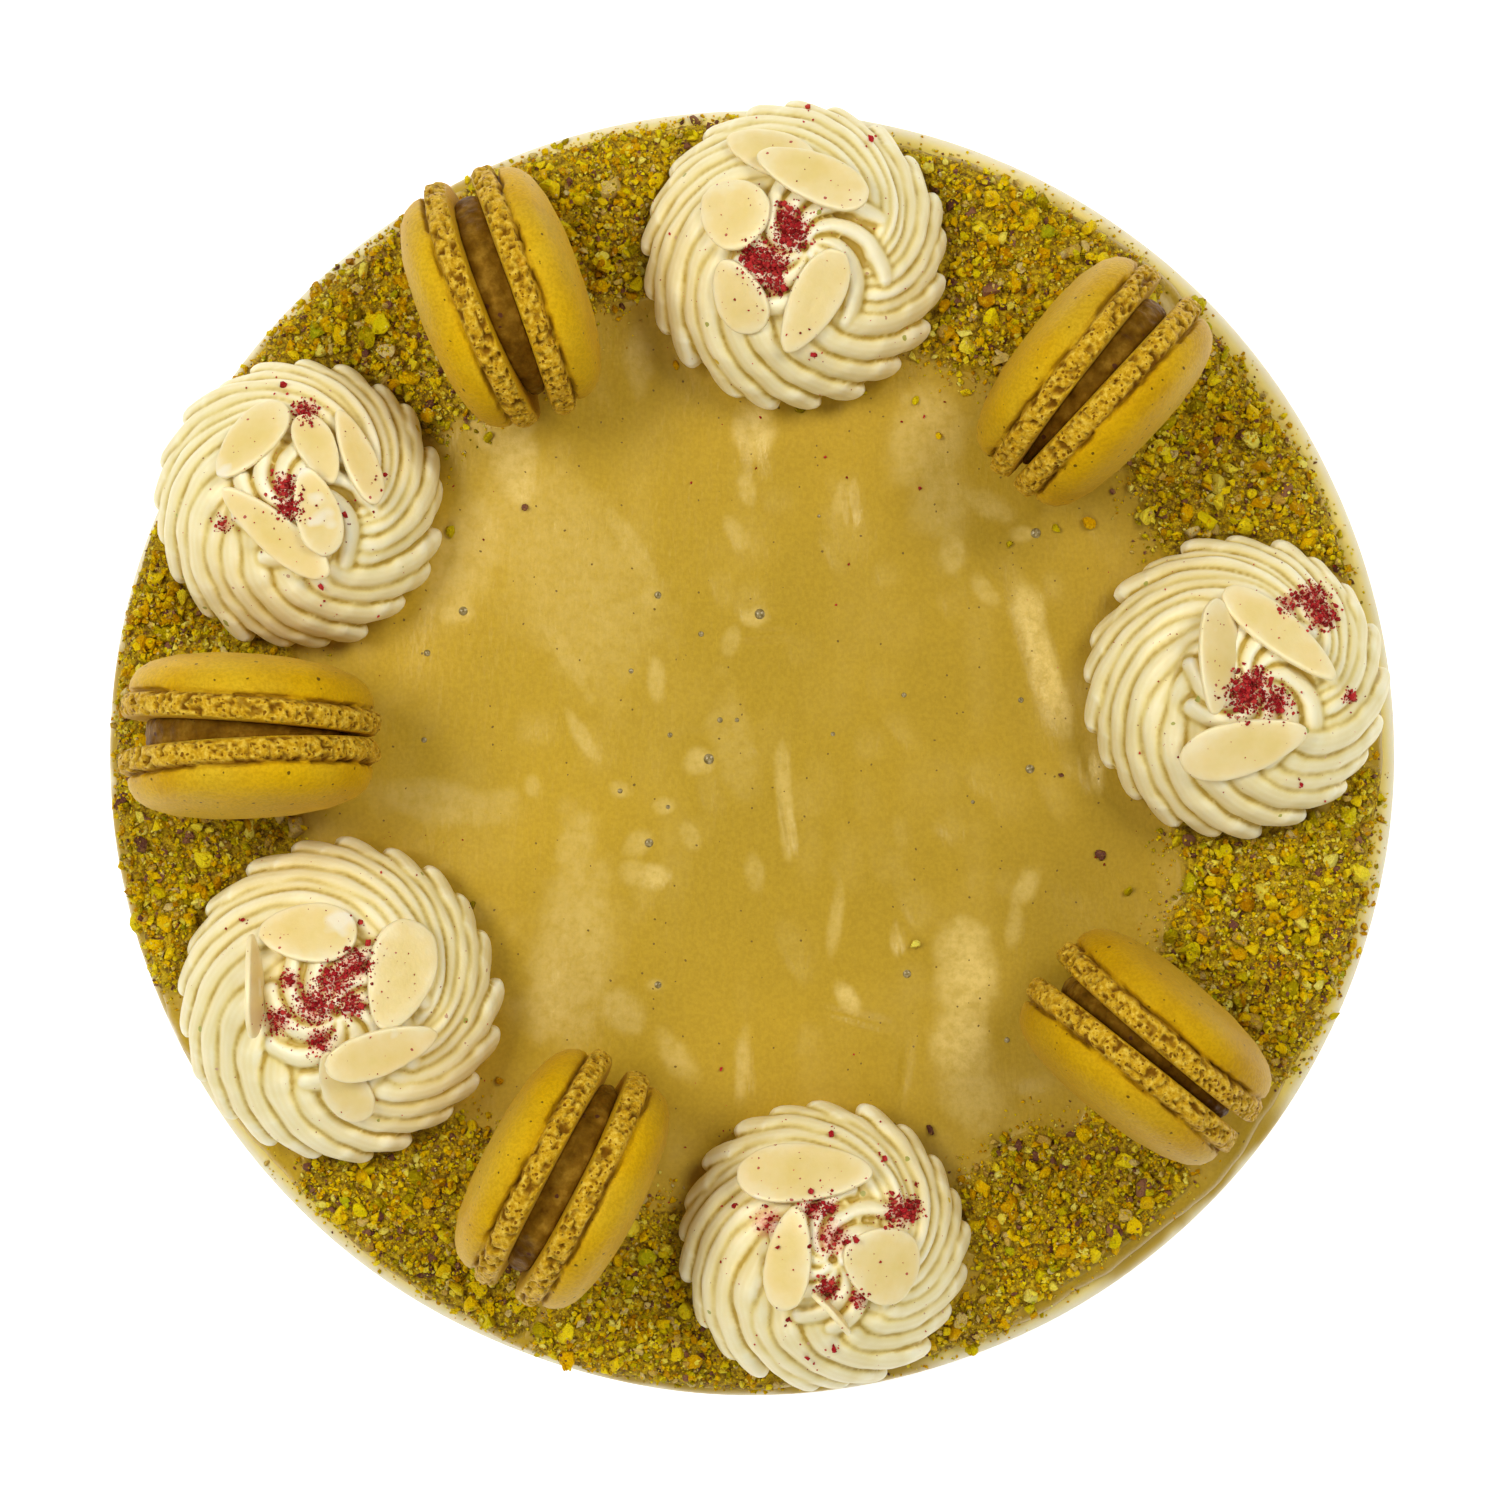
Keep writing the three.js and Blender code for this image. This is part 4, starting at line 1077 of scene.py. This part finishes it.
def outer_lines(place, hook, start):
    """Crest lines of the outer ropes from the foot inwards, with their outward directions."""
    foot = dome_line[6:widest:9]
    heading = spokes(start)
    points, normals = [], []
    for reach, rise in foot:
        plan = place["middle"] + place["reach"] * reach * heading
        level = np.full((len(start), 1), place["low"] + place["height"] * rise)
        points.append(np.concatenate((plan, level), axis=-1))
        normals.append(np.concatenate((heading, 0 * level), axis=-1))
    turn = start.copy()
    shares = np.linspace(1, 0.3, 62)
    step = shares[0] - shares[1]
    drift = 7 * MM * spokes(hook)
    for share in shares:
        ring = spokes(turn)
        plan = place["middle"] + place["reach"] * share * ring + drift * (1 - share)
        point, normal = on_dome(place, plan)
        away = np.linalg.norm(plan - place["middle"], axis=-1) / place["reach"]
        dive = 1.5 * MM * ease((0.64 - away) / 0.16)
        points.append(point - normal * dive[:, None])
        normals.append(normal)
        turn = turn - (2.9 - 1.3 * np.cos(turn - hook)) * step
    return np.stack(points, axis=1), np.stack(normals, axis=1)


def inner_lines(place, hook, start):
    """Crest lines of the small top swirl, from their outer ends to the peak."""
    points, normals = [], []
    middle = place["middle"] + 1.5 * MM * spokes(hook)
    for share in np.linspace(0.55, 0.03, 40):
        turn = start + 1.9 * (1 - share / 0.55)
        ring = spokes(turn)
        longer = 1 + 0.12 * np.cos(turn - hook)[:, None]
        point, normal = on_dome(place, middle + place["reach"] * share * ring * longer)
        points.append(point)
        normals.append(normal)
    return np.stack(points, axis=1), np.stack(normals, axis=1)


def ropes(lines, normals, draw, seed):
    """Leaning ropes with a crest along each line, as wide as the lines are apart."""
    run = np.gradient(lines, axis=1)
    run /= np.maximum(np.linalg.norm(run, axis=-1, keepdims=True), 1e-12)
    beside = np.roll(lines, -1, axis=0) - lines
    apart = np.linalg.norm(np.cross(run, beside), axis=-1)
    apart = 0.5 * (apart + np.roll(apart, 1, axis=0))
    side = np.cross(run, normals)
    side /= np.linalg.norm(side, axis=-1, keepdims=True)
    lean = math.radians(33)
    turn = np.linspace(0, 2 * math.pi, ROPE_SIDES, endpoint=False)
    peaked = 1.12
    crest_x = np.sign(np.cos(turn)) * np.abs(np.cos(turn)) ** peaked
    crest_y = np.sign(np.sin(turn)) * np.abs(np.sin(turn)) ** peaked
    skins = []
    for number in range(len(lines)):
        line, out, across = lines[number], normals[number], side[number]
        half_wide = np.clip(0.6 * apart[number] * draw.uniform(0.88, 1.15), 0.8 * MM, 4.4 * MM)
        half_tall = np.minimum(1.4 * half_wide, 2.7 * MM)
        steps = np.linalg.norm(np.diff(line, axis=0), axis=1)
        along = np.concatenate(([0], np.cumsum(steps)))
        from_end = np.minimum(along, along[-1] - along) / np.maximum(half_wide, MM)
        tip = np.sqrt(1 - (1 - np.clip(from_end, 0.02, 1)) ** 2)[:, None]
        wander = 0.35 * cloudy(line, 7 * MM, seed + number) + draw.uniform(-0.6, 0.05)
        middle = line - out * (half_tall - wander * MM)[:, None]
        wide_axis = (across * math.cos(lean) + out * math.sin(lean)) * half_wide[:, None] * tip
        tall_axis = (out * math.cos(lean) - across * math.sin(lean)) * half_tall[:, None] * tip
        rows = (middle[:, None] + wide_axis[:, None] * crest_x[:, None]
                + tall_axis[:, None] * crest_y[:, None])
        skins.append((rows, middle[0], middle[-1]))
    return skins


def rosette_core(place):
    """A plain mound under the ropes, so that the valleys between them have a floor."""
    inset, drop = 2.3 * MM, 1.7 * MM
    turn = np.linspace(0, 2 * math.pi, 90, endpoint=False)
    rows = []
    for reach, rise in dome_line[:-8:6]:
        radius = max(place["reach"] * reach - inset, 0.3 * MM)
        level = place["low"] + max(place["height"] * rise - drop * (rise > 0.2), 0)
        rows.append(ring_row(turn, radius, level, place["middle"]))
    peak = (*place["middle"], place["low"] + place["height"] - drop)
    return rows, (*place["middle"], place["low"]), peak


def piped_rosette(number, place, hook):
    """Ropes and core fused into one skin of cream, its small steps smoothed away."""
    draw = np.random.default_rng(200 + number)
    place = {**place, "low": glaze_level - 0.1 * MM, "height": place["top"] - glaze_level}
    place["reach"] = place["reach"] - 0.1 * MM
    hook = math.radians(hook)
    start = np.linspace(0, 2 * math.pi, OUTER_ROPES, endpoint=False)
    start += draw.uniform(-0.05, 0.05, OUTER_ROPES)
    inner_start = np.linspace(0, 2 * math.pi, INNER_ROPES, endpoint=False)
    inner_start += hook + draw.uniform(-0.1, 0.1, INNER_ROPES)
    skins = [rosette_core(place)]
    skins += ropes(*outer_lines(place, hook, start), draw, 20 * number)
    skins += ropes(*inner_lines(place, hook, inner_start), draw, 20 * number + 300)
    piece = skin_piece(f"piped_rosette_{number}", skins)
    make_active(piece)
    fuse = piece.modifiers.new("fuse", "REMESH")
    fuse.mode = "VOXEL"
    fuse.voxel_size = 0.38 * MM
    soften = piece.modifiers.new("soften", "SMOOTH")
    soften.factor = 0.5
    soften.iterations = 1
    bpy.ops.object.modifier_apply(modifier="fuse")
    bpy.ops.object.modifier_apply(modifier="soften")
    piece.data.shade_smooth()
    return piece


def valleys(mesh, passes, span):
    """How far each vertex lies under the smoothed skin, from 0 on crests to 1 in valleys."""
    points = points_of(mesh)
    ends = np.empty(len(mesh.edges) * 2, dtype=np.int64)
    mesh.edges.foreach_get("vertices", ends)
    near, far = ends.reshape(-1, 2).T
    links = np.bincount(near, minlength=len(points)) + np.bincount(far, minlength=len(points))
    normals = np.empty(len(points) * 3)
    mesh.vertices.foreach_get("normal", normals)
    smooth = points.copy()
    for _ in range(passes):
        total = np.zeros_like(smooth)
        for axis in range(3):
            total[:, axis] = np.bincount(near, smooth[far, axis], len(points))
            total[:, axis] += np.bincount(far, smooth[near, axis], len(points))
        smooth = 0.5 * smooth + 0.5 * total / np.maximum(links, 1)[:, None]
    under = np.sum((smooth - points) * normals.reshape(-1, 3), axis=1)
    return np.clip(0.5 + under / span, 0, 1)


def berry_dust(points):
    """How much berry powder lies on each point of the cream."""
    dust = np.zeros(len(points))
    for cluster in BERRY_CLUSTERS:
        shrink = 1 - (points[:, 2] - glaze_level) / camera_height
        seen = from_photo(cluster.pixel)
        off = np.hypot(points[:, 0] - seen[0] * shrink, points[:, 1] - seen[1] * shrink)
        dust = np.maximum(dust, np.exp(-((off / (cluster.wide * PHOTO_PIXEL * 1.25)) ** 2)))
    return dust


def cream_material():
    material, tree, shader = new_material(
        "piped_pistachio_cream", 0.4, 0.15, (1, 0.8, 0.4), 0.0011, tint=(1, 0.95, 0.75))
    # Painted light and shade: the cream is palest on the crests and darkens into the valleys between
    # the ropes.
    cream = ramp(tree, attribute(tree, "valley_shade"), [
        (0.05, (1.0, 0.96, 0.8)), (0.36, (0.98, 0.89, 0.58)), (0.54, (0.84, 0.69, 0.27)),
        (0.72, (0.52, 0.34, 0.05))])
    cloud = ramp(tree, object_noise(tree, 120, 3), [(0.3, (0.94, 0.92, 0.84)), (0.65, (1, 1, 1))])
    cream = mix_colour(tree, 1.0, cream, cloud, "MULTIPLY")
    cream = dotted(tree, cream, (0.74, 0.52, 0.03), (170, 0.13, 0.13))
    cream = dotted(tree, cream, (0.42, 0.4, 0.08), (260, 0.13, 0.14))
    cream = dotted(tree, cream, (0.6, 0.36, 0.2), (300, 0.1, 0.14))
    powder = object_noise(tree, 1900, 4, 0.7)
    powdered = maths(tree, "MULTIPLY_ADD", powder, attribute(tree, "berry_dust"), -0.12)
    stain = rescaled(tree, powdered, 0.05, 0.42, 0.0, 0.85)
    cream = mix_colour(tree, stain, cream, (0.66, 0.17, 0.13))
    tree.links.new(cream, shader.inputs["Base Color"])
    add_bump(tree, shader, object_noise(tree, 1500, 3), 0.0001, 0.35)
    add_bump(tree, shader, object_noise(tree, 260, 3), 0.0005, 0.2)
    return material


cream_finish = cream_material()
rosette_pieces = []
for number, (place, hook) in enumerate(zip(rosettes, ROSETTE_HOOKS), 1):
    rosette = piped_rosette(number, place, hook)
    store(rosette, "berry_dust", berry_dust(points_of(rosette.data)))
    # Painted shade in the valleys, kept for the cream's colour.
    store(rosette, "valley_shade", valleys(rosette.data, 12, 0.6 * MM))
    finish_piece(rosette, cream_finish, "piped_cream", f"cream_rosette_{number}")
    rosette_pieces.append(rosette)


# Almond flakes
# Blanched almonds cut into slices a millimetre thick, laid on the cream and a few stuck into
# it. Each is an uneven egg outline with a rounded edge, slightly bowed, translucent in the
# middle and paler at the edge, and it lies where its solid lies.

# How much longer and wider than its solid a flake is: all of them, and two that look larger.
FLAKE_GROWTH = (1.03, 1.05)
LARGE_FLAKES = {1: (1.06, 1.14), 2: (1.02, 1.2)}


def flake_axes(name):
    """Middle, length, width and axes of a flake's solid, its narrow end first."""
    points = np.unique(node_points(name).round(6), axis=0)
    centred = points - points.mean(axis=0)
    axes = np.linalg.eigh(centred.T @ centred)[1].T[::-1]
    spans = [centred @ axis for axis in axes]
    middle = points.mean(axis=0) + sum(
        axis * (span.max() + span.min()) / 2 for axis, span in zip(axes, spans))
    long_axis, wide_axis, thin_axis = axes
    reach = np.abs(spans[1])
    if reach[spans[0] > 0].max() > reach[spans[0] < 0].max():
        long_axis = -long_axis
    if thin_axis[2] < 0:
        thin_axis = -thin_axis
    wide_axis = np.cross(thin_axis, long_axis)
    sizes = [np.ptp(span) for span in spans]
    return middle, sizes, np.stack((long_axis, wide_axis, thin_axis))


def almond_slice(number):
    """A sliced almond in rows from its underside over the edge to its top."""
    middle, sizes, axes = flake_axes(f"almond_flake_{number:02d}")
    growth = LARGE_FLAKES.get(number, FLAKE_GROWTH)
    around = 64
    angle = np.linspace(0, 2 * math.pi, around, endpoint=False)
    taper = 0.22
    edge = in_plan(np.cos(angle), np.sin(angle) * (1 - taper * np.cos(angle)))
    ragged = 1 + 0.018 * cloudy(edge, 0.35, number) + 0.012 * cloudy(edge, 0.12, number + 30)
    half_length, half_width = sizes[0] / 2 * growth[0], sizes[1] / 2 * growth[1]
    half_thick = 0.5 * MM
    bow = max(sizes[2] - 2 * half_thick, 0)
    inward = [0.12, 0.35, 0.6, 0.82, 0.94, 0.985, 0.999]
    side = [0, 0, 0, 0, 0.05, 0.25, 0.6]
    rows = []
    for below in (True, False):
        steps = list(zip(inward, side))
        for share, drop in steps if below else steps[::-1]:
            x = edge[:, 0] * half_length * share * ragged
            y = edge[:, 1] * half_width * share * ragged
            thick = half_thick * (1 - drop)
            lift = -thick if below else thick
            curve = bow * (0.5 - (x / half_length) ** 2)
            wave = 0.1 * MM * cloudy(in_plan(x, y), 4 * MM, 40 + number)
            rows.append(np.stack((x, y, lift + curve + wave), axis=1) @ axes + middle)
    below_middle = middle + axes[2] * (0.5 * bow - half_thick)
    top_middle = middle + axes[2] * (0.5 * bow + half_thick)
    piece = skin_piece(f"almond_slice_{number:02d}", [(rows, below_middle, top_middle)])
    paleness = np.repeat(np.array(inward + inward[::-1]) ** 3, around)
    store(piece, "edge", np.concatenate((paleness, [0, 0])))
    return piece


def almond_material():
    material, tree, shader = new_material(
        "blanched_almond", 0.33, 0.35, (1, 0.8, 0.5), 0.0015, tint=(1, 0.95, 0.7))
    cloud = object_noise(tree, 170, 3)
    pale = maths(tree, "MULTIPLY_ADD", attribute(tree, "edge"), 0.55, cloud)
    tone = ramp(tree, pale, [
        (0.35, (0.82, 0.63, 0.22)), (0.7, (0.87, 0.69, 0.31)), (1.0, (0.92, 0.78, 0.46))])
    # Painted gloss: nearly white patches at random over the slice.
    painted_gloss = ramp(tree, object_noise(tree, 110, 2), [(0.66, (0, 0, 0)), (0.72, (0.7, 0.7, 0.7))])
    tone = mix_colour(tree, painted_gloss, tone, (0.93, 0.86, 0.7))
    tone = dotted(tree, tone, (0.5, 0.1, 0.07), (700, 0.2, 0.05))
    tree.links.new(tone, shader.inputs["Base Color"])
    add_bump(tree, shader, object_noise(tree, 1400, 3), 0.0001, 0.4)
    return material


def ground_of(pieces):
    """A search tree over the skins of pieces, for laying things on them."""
    points, faces, count = [], [], 0
    for piece in pieces:
        here = points_of(piece.data)
        points.extend(map(tuple, here))
        faces.extend([count + i for i in face.vertices] for face in piece.data.polygons)
        count += len(here)
    return BVHTree.FromPolygons(points, faces)


def gap_under(points, ground):
    """The smallest height of points over the ground, or none where the ground is missed."""
    down = Vector((0, 0, -1))
    gaps = []
    for x, y, z in points[::3]:
        hit = ground.ray_cast(Vector((x, y, cad_high.z)), down)[0]
        if hit:
            gaps.append(z - hit.z)
    return min(gaps, default=None)


def settle(flakes, deepest):
    """Lowers each flake, lowest first, until it touches the cream or a flake below it."""
    pressed_in = 0.15 * MM
    grounds = [ground_of(rosette_pieces)]
    for flake in sorted(flakes, key=lambda piece: points_of(piece.data)[:, 2].min()):
        points = points_of(flake.data)
        gaps = [gap_under(points, ground) for ground in grounds]
        gap = min(gap for gap in gaps if gap is not None)
        points[:, 2] -= np.clip(gap + pressed_in, 0, deepest)
        move_points(flake, points)
        grounds.append(ground_of([flake]))


almond_finish = almond_material()
flake_count = sum(name.startswith("almond_flake_") for name in nodes)
flake_pieces = []
for number in range(1, flake_count + 1):
    flake = almond_slice(number)
    finish_piece(flake, almond_finish, "almond_flake", f"almond_flake_{number:02d}")
    flake_pieces.append(flake)
settle(flake_pieces, 3 * MM)


# Dried red berry crumb
# Freeze-dried berry crushed between the fingers over each rosette: dense heaps of crimson
# grit with a few larger bits, thinning out to single specks. Every bit is a small broken
# lump, laid on the cream or the almonds round the places that the photo shows.

# Pixels of the larger bits, and of the specks on the glaze.
BERRY_BITS = [
    (814, 354), (1301, 784), (1352, 695), (832, 1135), (915, 1184), (833, 1348), (807, 1357),
    (789, 1319), (735, 1206), (885, 1160), (244, 921), (361, 923), (367, 946), (285, 386),
    (384, 475), (345, 515), (222, 524), (320, 586), (808, 109), (870, 140), (1352, 697),
]
BERRY_SPECKS = [
    (756, 468), (825, 457), (847, 477), (919, 488), (849, 564), (836, 605), (1061, 775),
    (721, 1069), (691, 483), (760, 417), (902, 422), (924, 417), (945, 402), (1096, 857),
]


def seen_at(ground, pixel):
    """Where the line of sight through a pixel of the photo meets the ground."""
    eye = Vector((*frame_middle, glaze_level + camera_height))
    aim = Vector((*from_photo(pixel), glaze_level))
    return ground.ray_cast(eye, (aim - eye).normalized())


def lump_kinds(level, count, seed, roughness):
    """A few broken lumps of size one, as points and one set of triangles."""
    bpy.ops.mesh.primitive_ico_sphere_add(subdivisions=level, radius=0.5)
    ball = bpy.context.object
    points = points_of(ball.data)
    faces = np.array([tuple(face.vertices) for face in ball.data.polygons])
    bpy.data.objects.remove(ball)
    draw = np.random.default_rng(seed)
    kinds = []
    for _ in range(count):
        lump = points * draw.uniform(0.65, 1.35, 3)
        for _ in range(8):
            cut = draw.normal(size=3)
            cut /= np.linalg.norm(cut)
            over = np.maximum(lump @ cut - draw.uniform(0.16, 0.36), 0)
            lump = lump - over[:, None] * cut
        lump = lump * (1 + roughness * draw.normal(size=(len(points), 1)))
        kinds.append(lump)
    return kinds, faces


def random_turns(draw, count):
    """Random turns as an array of 3 by 3 matrices."""
    quarter = draw.normal(size=(count, 4))
    w, x, y, z = (quarter / np.linalg.norm(quarter, axis=1, keepdims=True)).T
    return np.stack((
        1 - 2 * (y * y + z * z), 2 * (x * y - z * w), 2 * (x * z + y * w),
        2 * (x * y + z * w), 1 - 2 * (x * x + z * z), 2 * (y * z - x * w),
        2 * (x * z - y * w), 2 * (y * z + x * w), 1 - 2 * (x * x + y * y),
    ), axis=1).reshape(-1, 3, 3)


def joined_lumps(name, places, sizes, tones, shapes, draw):
    """One piece of many lumps, each turned at random, with its tone kept on its vertices."""
    kinds, faces = shapes
    chosen = np.array(kinds)[draw.integers(0, len(kinds), len(places))]
    turned = np.einsum("nij,nkj->nki", random_turns(draw, len(places)), chosen)
    points = turned * np.asarray(sizes)[:, None, None] + np.asarray(places)[:, None, :]
    step = len(kinds[0])
    index = (faces[None] + step * np.arange(len(places))[:, None, None]).reshape(-1, 3)
    mesh = bpy.data.meshes.new(name)
    mesh.from_pydata(points.reshape(-1, 3).tolist(), [], index.tolist())
    piece = link_piece(name, mesh)
    store(piece, "tone", np.repeat(tones, step))
    store(piece, "shade", ease((0.16 - turned[..., 2].ravel()) / 0.5))
    mesh.shade_smooth()
    mesh.set_sharp_from_angle(angle=math.radians(22))
    return piece


def berry_crumb(ground):
    """All berry bits in one piece: heaps, single specks and the larger bits of the photo."""
    draw = np.random.default_rng(77)
    places, sizes = [], []

    def lay(pixel, size, sink):
        point, normal, _, _ = seen_at(ground, pixel)
        if point is None:
            return
        places.append(point + normal * size * sink)
        sizes.append(size)

    for cluster in BERRY_CLUSTERS:
        for _ in range(int(0.8 * cluster.bits)):
            spread = draw.normal(0, 0.64 * cluster.wide, 2)
            size = min(0.24 + draw.exponential(0.22), 1.7) * MM
            lay(np.array(cluster.pixel) + spread, size, 0.2)
    for rosette in rosettes:
        middle = rosette["middle"] / PHOTO_PIXEL * (1, -1) + PHOTO_MIDDLE
        for _ in range(150):
            off = 0.5 * rosette["reach"] / PHOTO_PIXEL * draw.normal(size=2)
            lay(middle + off, min(0.16 + draw.exponential(0.11), 0.7) * MM, 0.2)
    for pixel in BERRY_BITS:
        lay(pixel, draw.uniform(1.1, 1.8) * MM, 0.25)
        for _ in range(3):
            lay(np.array(pixel) + draw.normal(0, 6, 2), draw.uniform(0.3, 0.7) * MM, 0.2)
    for pixel in BERRY_SPECKS:
        lay(pixel, draw.uniform(0.5, 0.95) * MM, 0.2)
    tones = draw.random(len(places))
    return joined_lumps("red_berry_crumb", places, sizes, tones, lump_kinds(1, 8, 5, 0.1), draw)


def crumb_material(name, stops, mottle):
    """A finish for broken bits: a tone for each bit, mottled and rough all over."""
    material, tree, shader = new_material(
        name, 0.6, 0.08, (1, 0.6, 0.3), 0.001, 0.25, (1, 0.75, 0.03))
    powder = object_noise(tree, 1300, 4, 0.65)
    patches = ramp(tree, powder, [(0.5, (0, 0, 0)), (0.68, (0.55, 0.55, 0.55))])
    colour = ramp(tree, attribute(tree, "tone"), stops)
    colour = mix_colour(tree, patches, colour, mottle)
    colour = mix_colour(tree, attribute(tree, "shade"), colour, (0.52, 0.38, 0.2), "MULTIPLY")
    tree.links.new(colour, shader.inputs["Base Color"])
    add_bump(tree, shader, powder, 0.0007, 0.8)
    add_bump(tree, shader, object_noise(tree, 2600, 3, 0.6), 0.0003, 0.7)
    return material


berry_tones = [(0.0, (0.22, 0.002, 0.008)), (0.5, (0.54, 0.008, 0.026)), (1.0, (0.76, 0.06, 0.055))]
berry_finish = crumb_material("dried_red_berry", berry_tones, (0.7, 0.08, 0.08))
berries = berry_crumb(ground_of(rosette_pieces + flake_pieces + [glaze_skin]))
finish_piece(berries, berry_finish, "piped_cream")


# Pistachio crumb
# Roasted pistachios chopped by hand and strewn round the edge: angular nuggets of 2 to 4.6 mm
# with meal on them, green and ochre, with bits of purple-brown skin and pale tan. The large
# ones lie on the glaze in banks, the small ones fill the gaps and the meal dusts them all.

# The ramp from which each bit of a kind takes its tone.
CRUMB_KINDS = {
    "ochre": [(0.0, (0.5, 0.2, 0.0005)), (0.2, (0.82, 0.42, 0.0005)), (0.5, (1.0, 0.64, 0.001)),
              (0.8, (1.0, 0.78, 0.012)), (1.0, (1.0, 0.88, 0.18))],
    "green": [(0.0, (0.26, 0.18, 0.001)), (0.4, (0.6, 0.46, 0.001)), (0.85, (0.94, 0.74, 0.004)),
              (1.0, (0.4, 0.4, 0.005))],
    "skin": [(0.0, (0.1, 0.03, 0.025)), (0.5, (0.2, 0.07, 0.05)), (1.0, (0.34, 0.15, 0.08))],
    "tan": [(0.0, (0.56, 0.32, 0.05)), (0.5, (0.74, 0.5, 0.1)), (1.0, (0.86, 0.68, 0.28))],
}

# Single nuggets outside the banks: the photo's pixel and the size in mm.
STRAY_BITS = {
    "ochre": [((915, 945), 2.6), ((940, 435), 1.8), ((500, 1080), 2.0), ((966, 392), 2.6),
              ((676, 366), 1.8), ((1088, 524), 2.8)],
    "green": [((490, 437), 2.4), ((450, 530), 2.6), ((448, 426), 2.0), ((472, 905), 1.8),
              ((1130, 890), 2.2), ((1203, 306), 3.6), ((1196, 300), 2.6), ((862, 392), 2.0),
              ((916, 400), 1.8), ((800, 408), 2.2), ((1056, 528), 2.2), ((1009, 545), 1.4),
              ((972, 1352), 3.0), ((1029, 1308), 2.6), ((906, 1362), 2.4)],
    "skin": [((525, 508), 1.8), ((1100, 855), 2.4), ((1060, 775), 1.2), ((930, 1130), 2.2),
             ((1113, 492), 1.4), ((1160, 512), 2.9), ((455, 390), 2.4)],
}

# Where rays start, the share of its size that a bit sinks in, and how far above the glaze a
# spot counts as the top of larger bits.
HIGH_ABOVE = 200 * MM
SINK = 0.22
RAISED = 1.0 * MM


def free_spots(draw, count, size, spread):
    """Places on the banks, thick with crumb and clear of rosettes and macarons."""
    radius = cake_radius * np.sqrt(draw.uniform(0.38, 0.985, count))
    angle = draw.uniform(0, 2 * math.pi, count)
    x, y = radius * np.cos(angle), radius * np.sin(angle)
    cover = crumb_cover(x, y, spread)[0]
    keep = draw.random(count) < cover
    for rosette in rosettes:
        off = np.hypot(x - rosette["middle"][0], y - rosette["middle"][1]) - rosette["reach"]
        keep &= off > 0.1 * size
    ground = glaze_height(x, y)
    for macaron in macarons:
        under, inside = under_macaron(x, y, macaron)
        keep &= (inside < -0.2 * size) | (under > ground + 0.7 * size)
    keep &= radius + 0.5 * size < cake_radius
    return x[keep], y[keep]


def level_below(ground, x, y):
    """Level of whatever lies under a point, looking straight down."""
    point = ground.ray_cast(Vector((x, y, HIGH_ABOVE)), Vector((0, 0, -1)))[0]
    return point.z if point else glaze_level


def strewn(kind, crumb_pass, seed, ground, strays):
    """One kind of crumb in one pass, mostly small and seldom on top of larger bits."""
    draw = np.random.default_rng(seed)
    low, high = crumb_pass["sizes"]
    x, y = free_spots(draw, crumb_pass["counts"][kind], 0.5 * (low + high) * MM, crumb_pass["spread"])
    sizes = (low + (high - low) * draw.random(len(x)) ** 1.7) * MM
    levels = np.array([level_below(ground, *spot) for spot in zip(x, y)])
    raised = levels - glaze_height(x, y) > RAISED
    stays = ~raised | (draw.random(len(x)) < crumb_pass["on_top"])
    places = np.stack((x, y, levels + SINK * sizes), axis=1)[stays].tolist()
    sizes = sizes[stays].tolist()
    for pixel, size in strays:
        here = from_photo(pixel)
        places.append((*here, level_below(ground, *here) + SINK * size * MM))
        sizes.append(size * MM)
    name = f"pistachio_{kind}_{crumb_pass['name']}"
    return joined_lumps(name, places, sizes, draw.random(len(places)), crumb_pass["shapes"], draw)


def nut_material(kind):
    meal = (0.95, 0.7, 0.02) if kind != "skin" else (0.45, 0.24, 0.05)
    return crumb_material(f"pistachio_{kind}", CRUMB_KINDS[kind], meal)


nuggets = lump_kinds(2, 16, 31, 0.025)
chips = lump_kinds(1, 24, 32, 0.06)
grit = lump_kinds(1, 16, 33, 0.08)
CRUMB_PASSES = [
    {"name": "nuggets", "sizes": (2.0, 4.6), "shapes": nuggets, "spread": 0.0, "on_top": 1.0,
     "counts": {"ochre": 1250, "green": 400, "skin": 140, "tan": 220}},
    {"name": "chips", "sizes": (0.9, 2.3), "shapes": chips, "spread": 2.5, "on_top": 0.2,
     "counts": {"ochre": 12000, "green": 3400, "skin": 1200, "tan": 2200}},
    {"name": "grit", "sizes": (0.35, 0.95), "shapes": grit, "spread": 6.0, "on_top": 0.4,
     "counts": {"ochre": 27000, "green": 7500, "skin": 3000, "tan": 5400}},
]
nut_finishes = {kind: nut_material(kind) for kind in CRUMB_KINDS}
laid = [glaze_skin, drum]
for number, crumb_pass in enumerate(CRUMB_PASSES):
    ground = ground_of(laid)
    for place, kind in enumerate(CRUMB_KINDS):
        strays = STRAY_BITS.get(kind, []) if crumb_pass["name"] == "nuggets" else []
        crumb = strewn(kind, crumb_pass, 300 + 10 * number + place, ground, strays)
        finish_piece(crumb, nut_finishes[kind], "pistachio_glaze")
        laid.append(crumb)
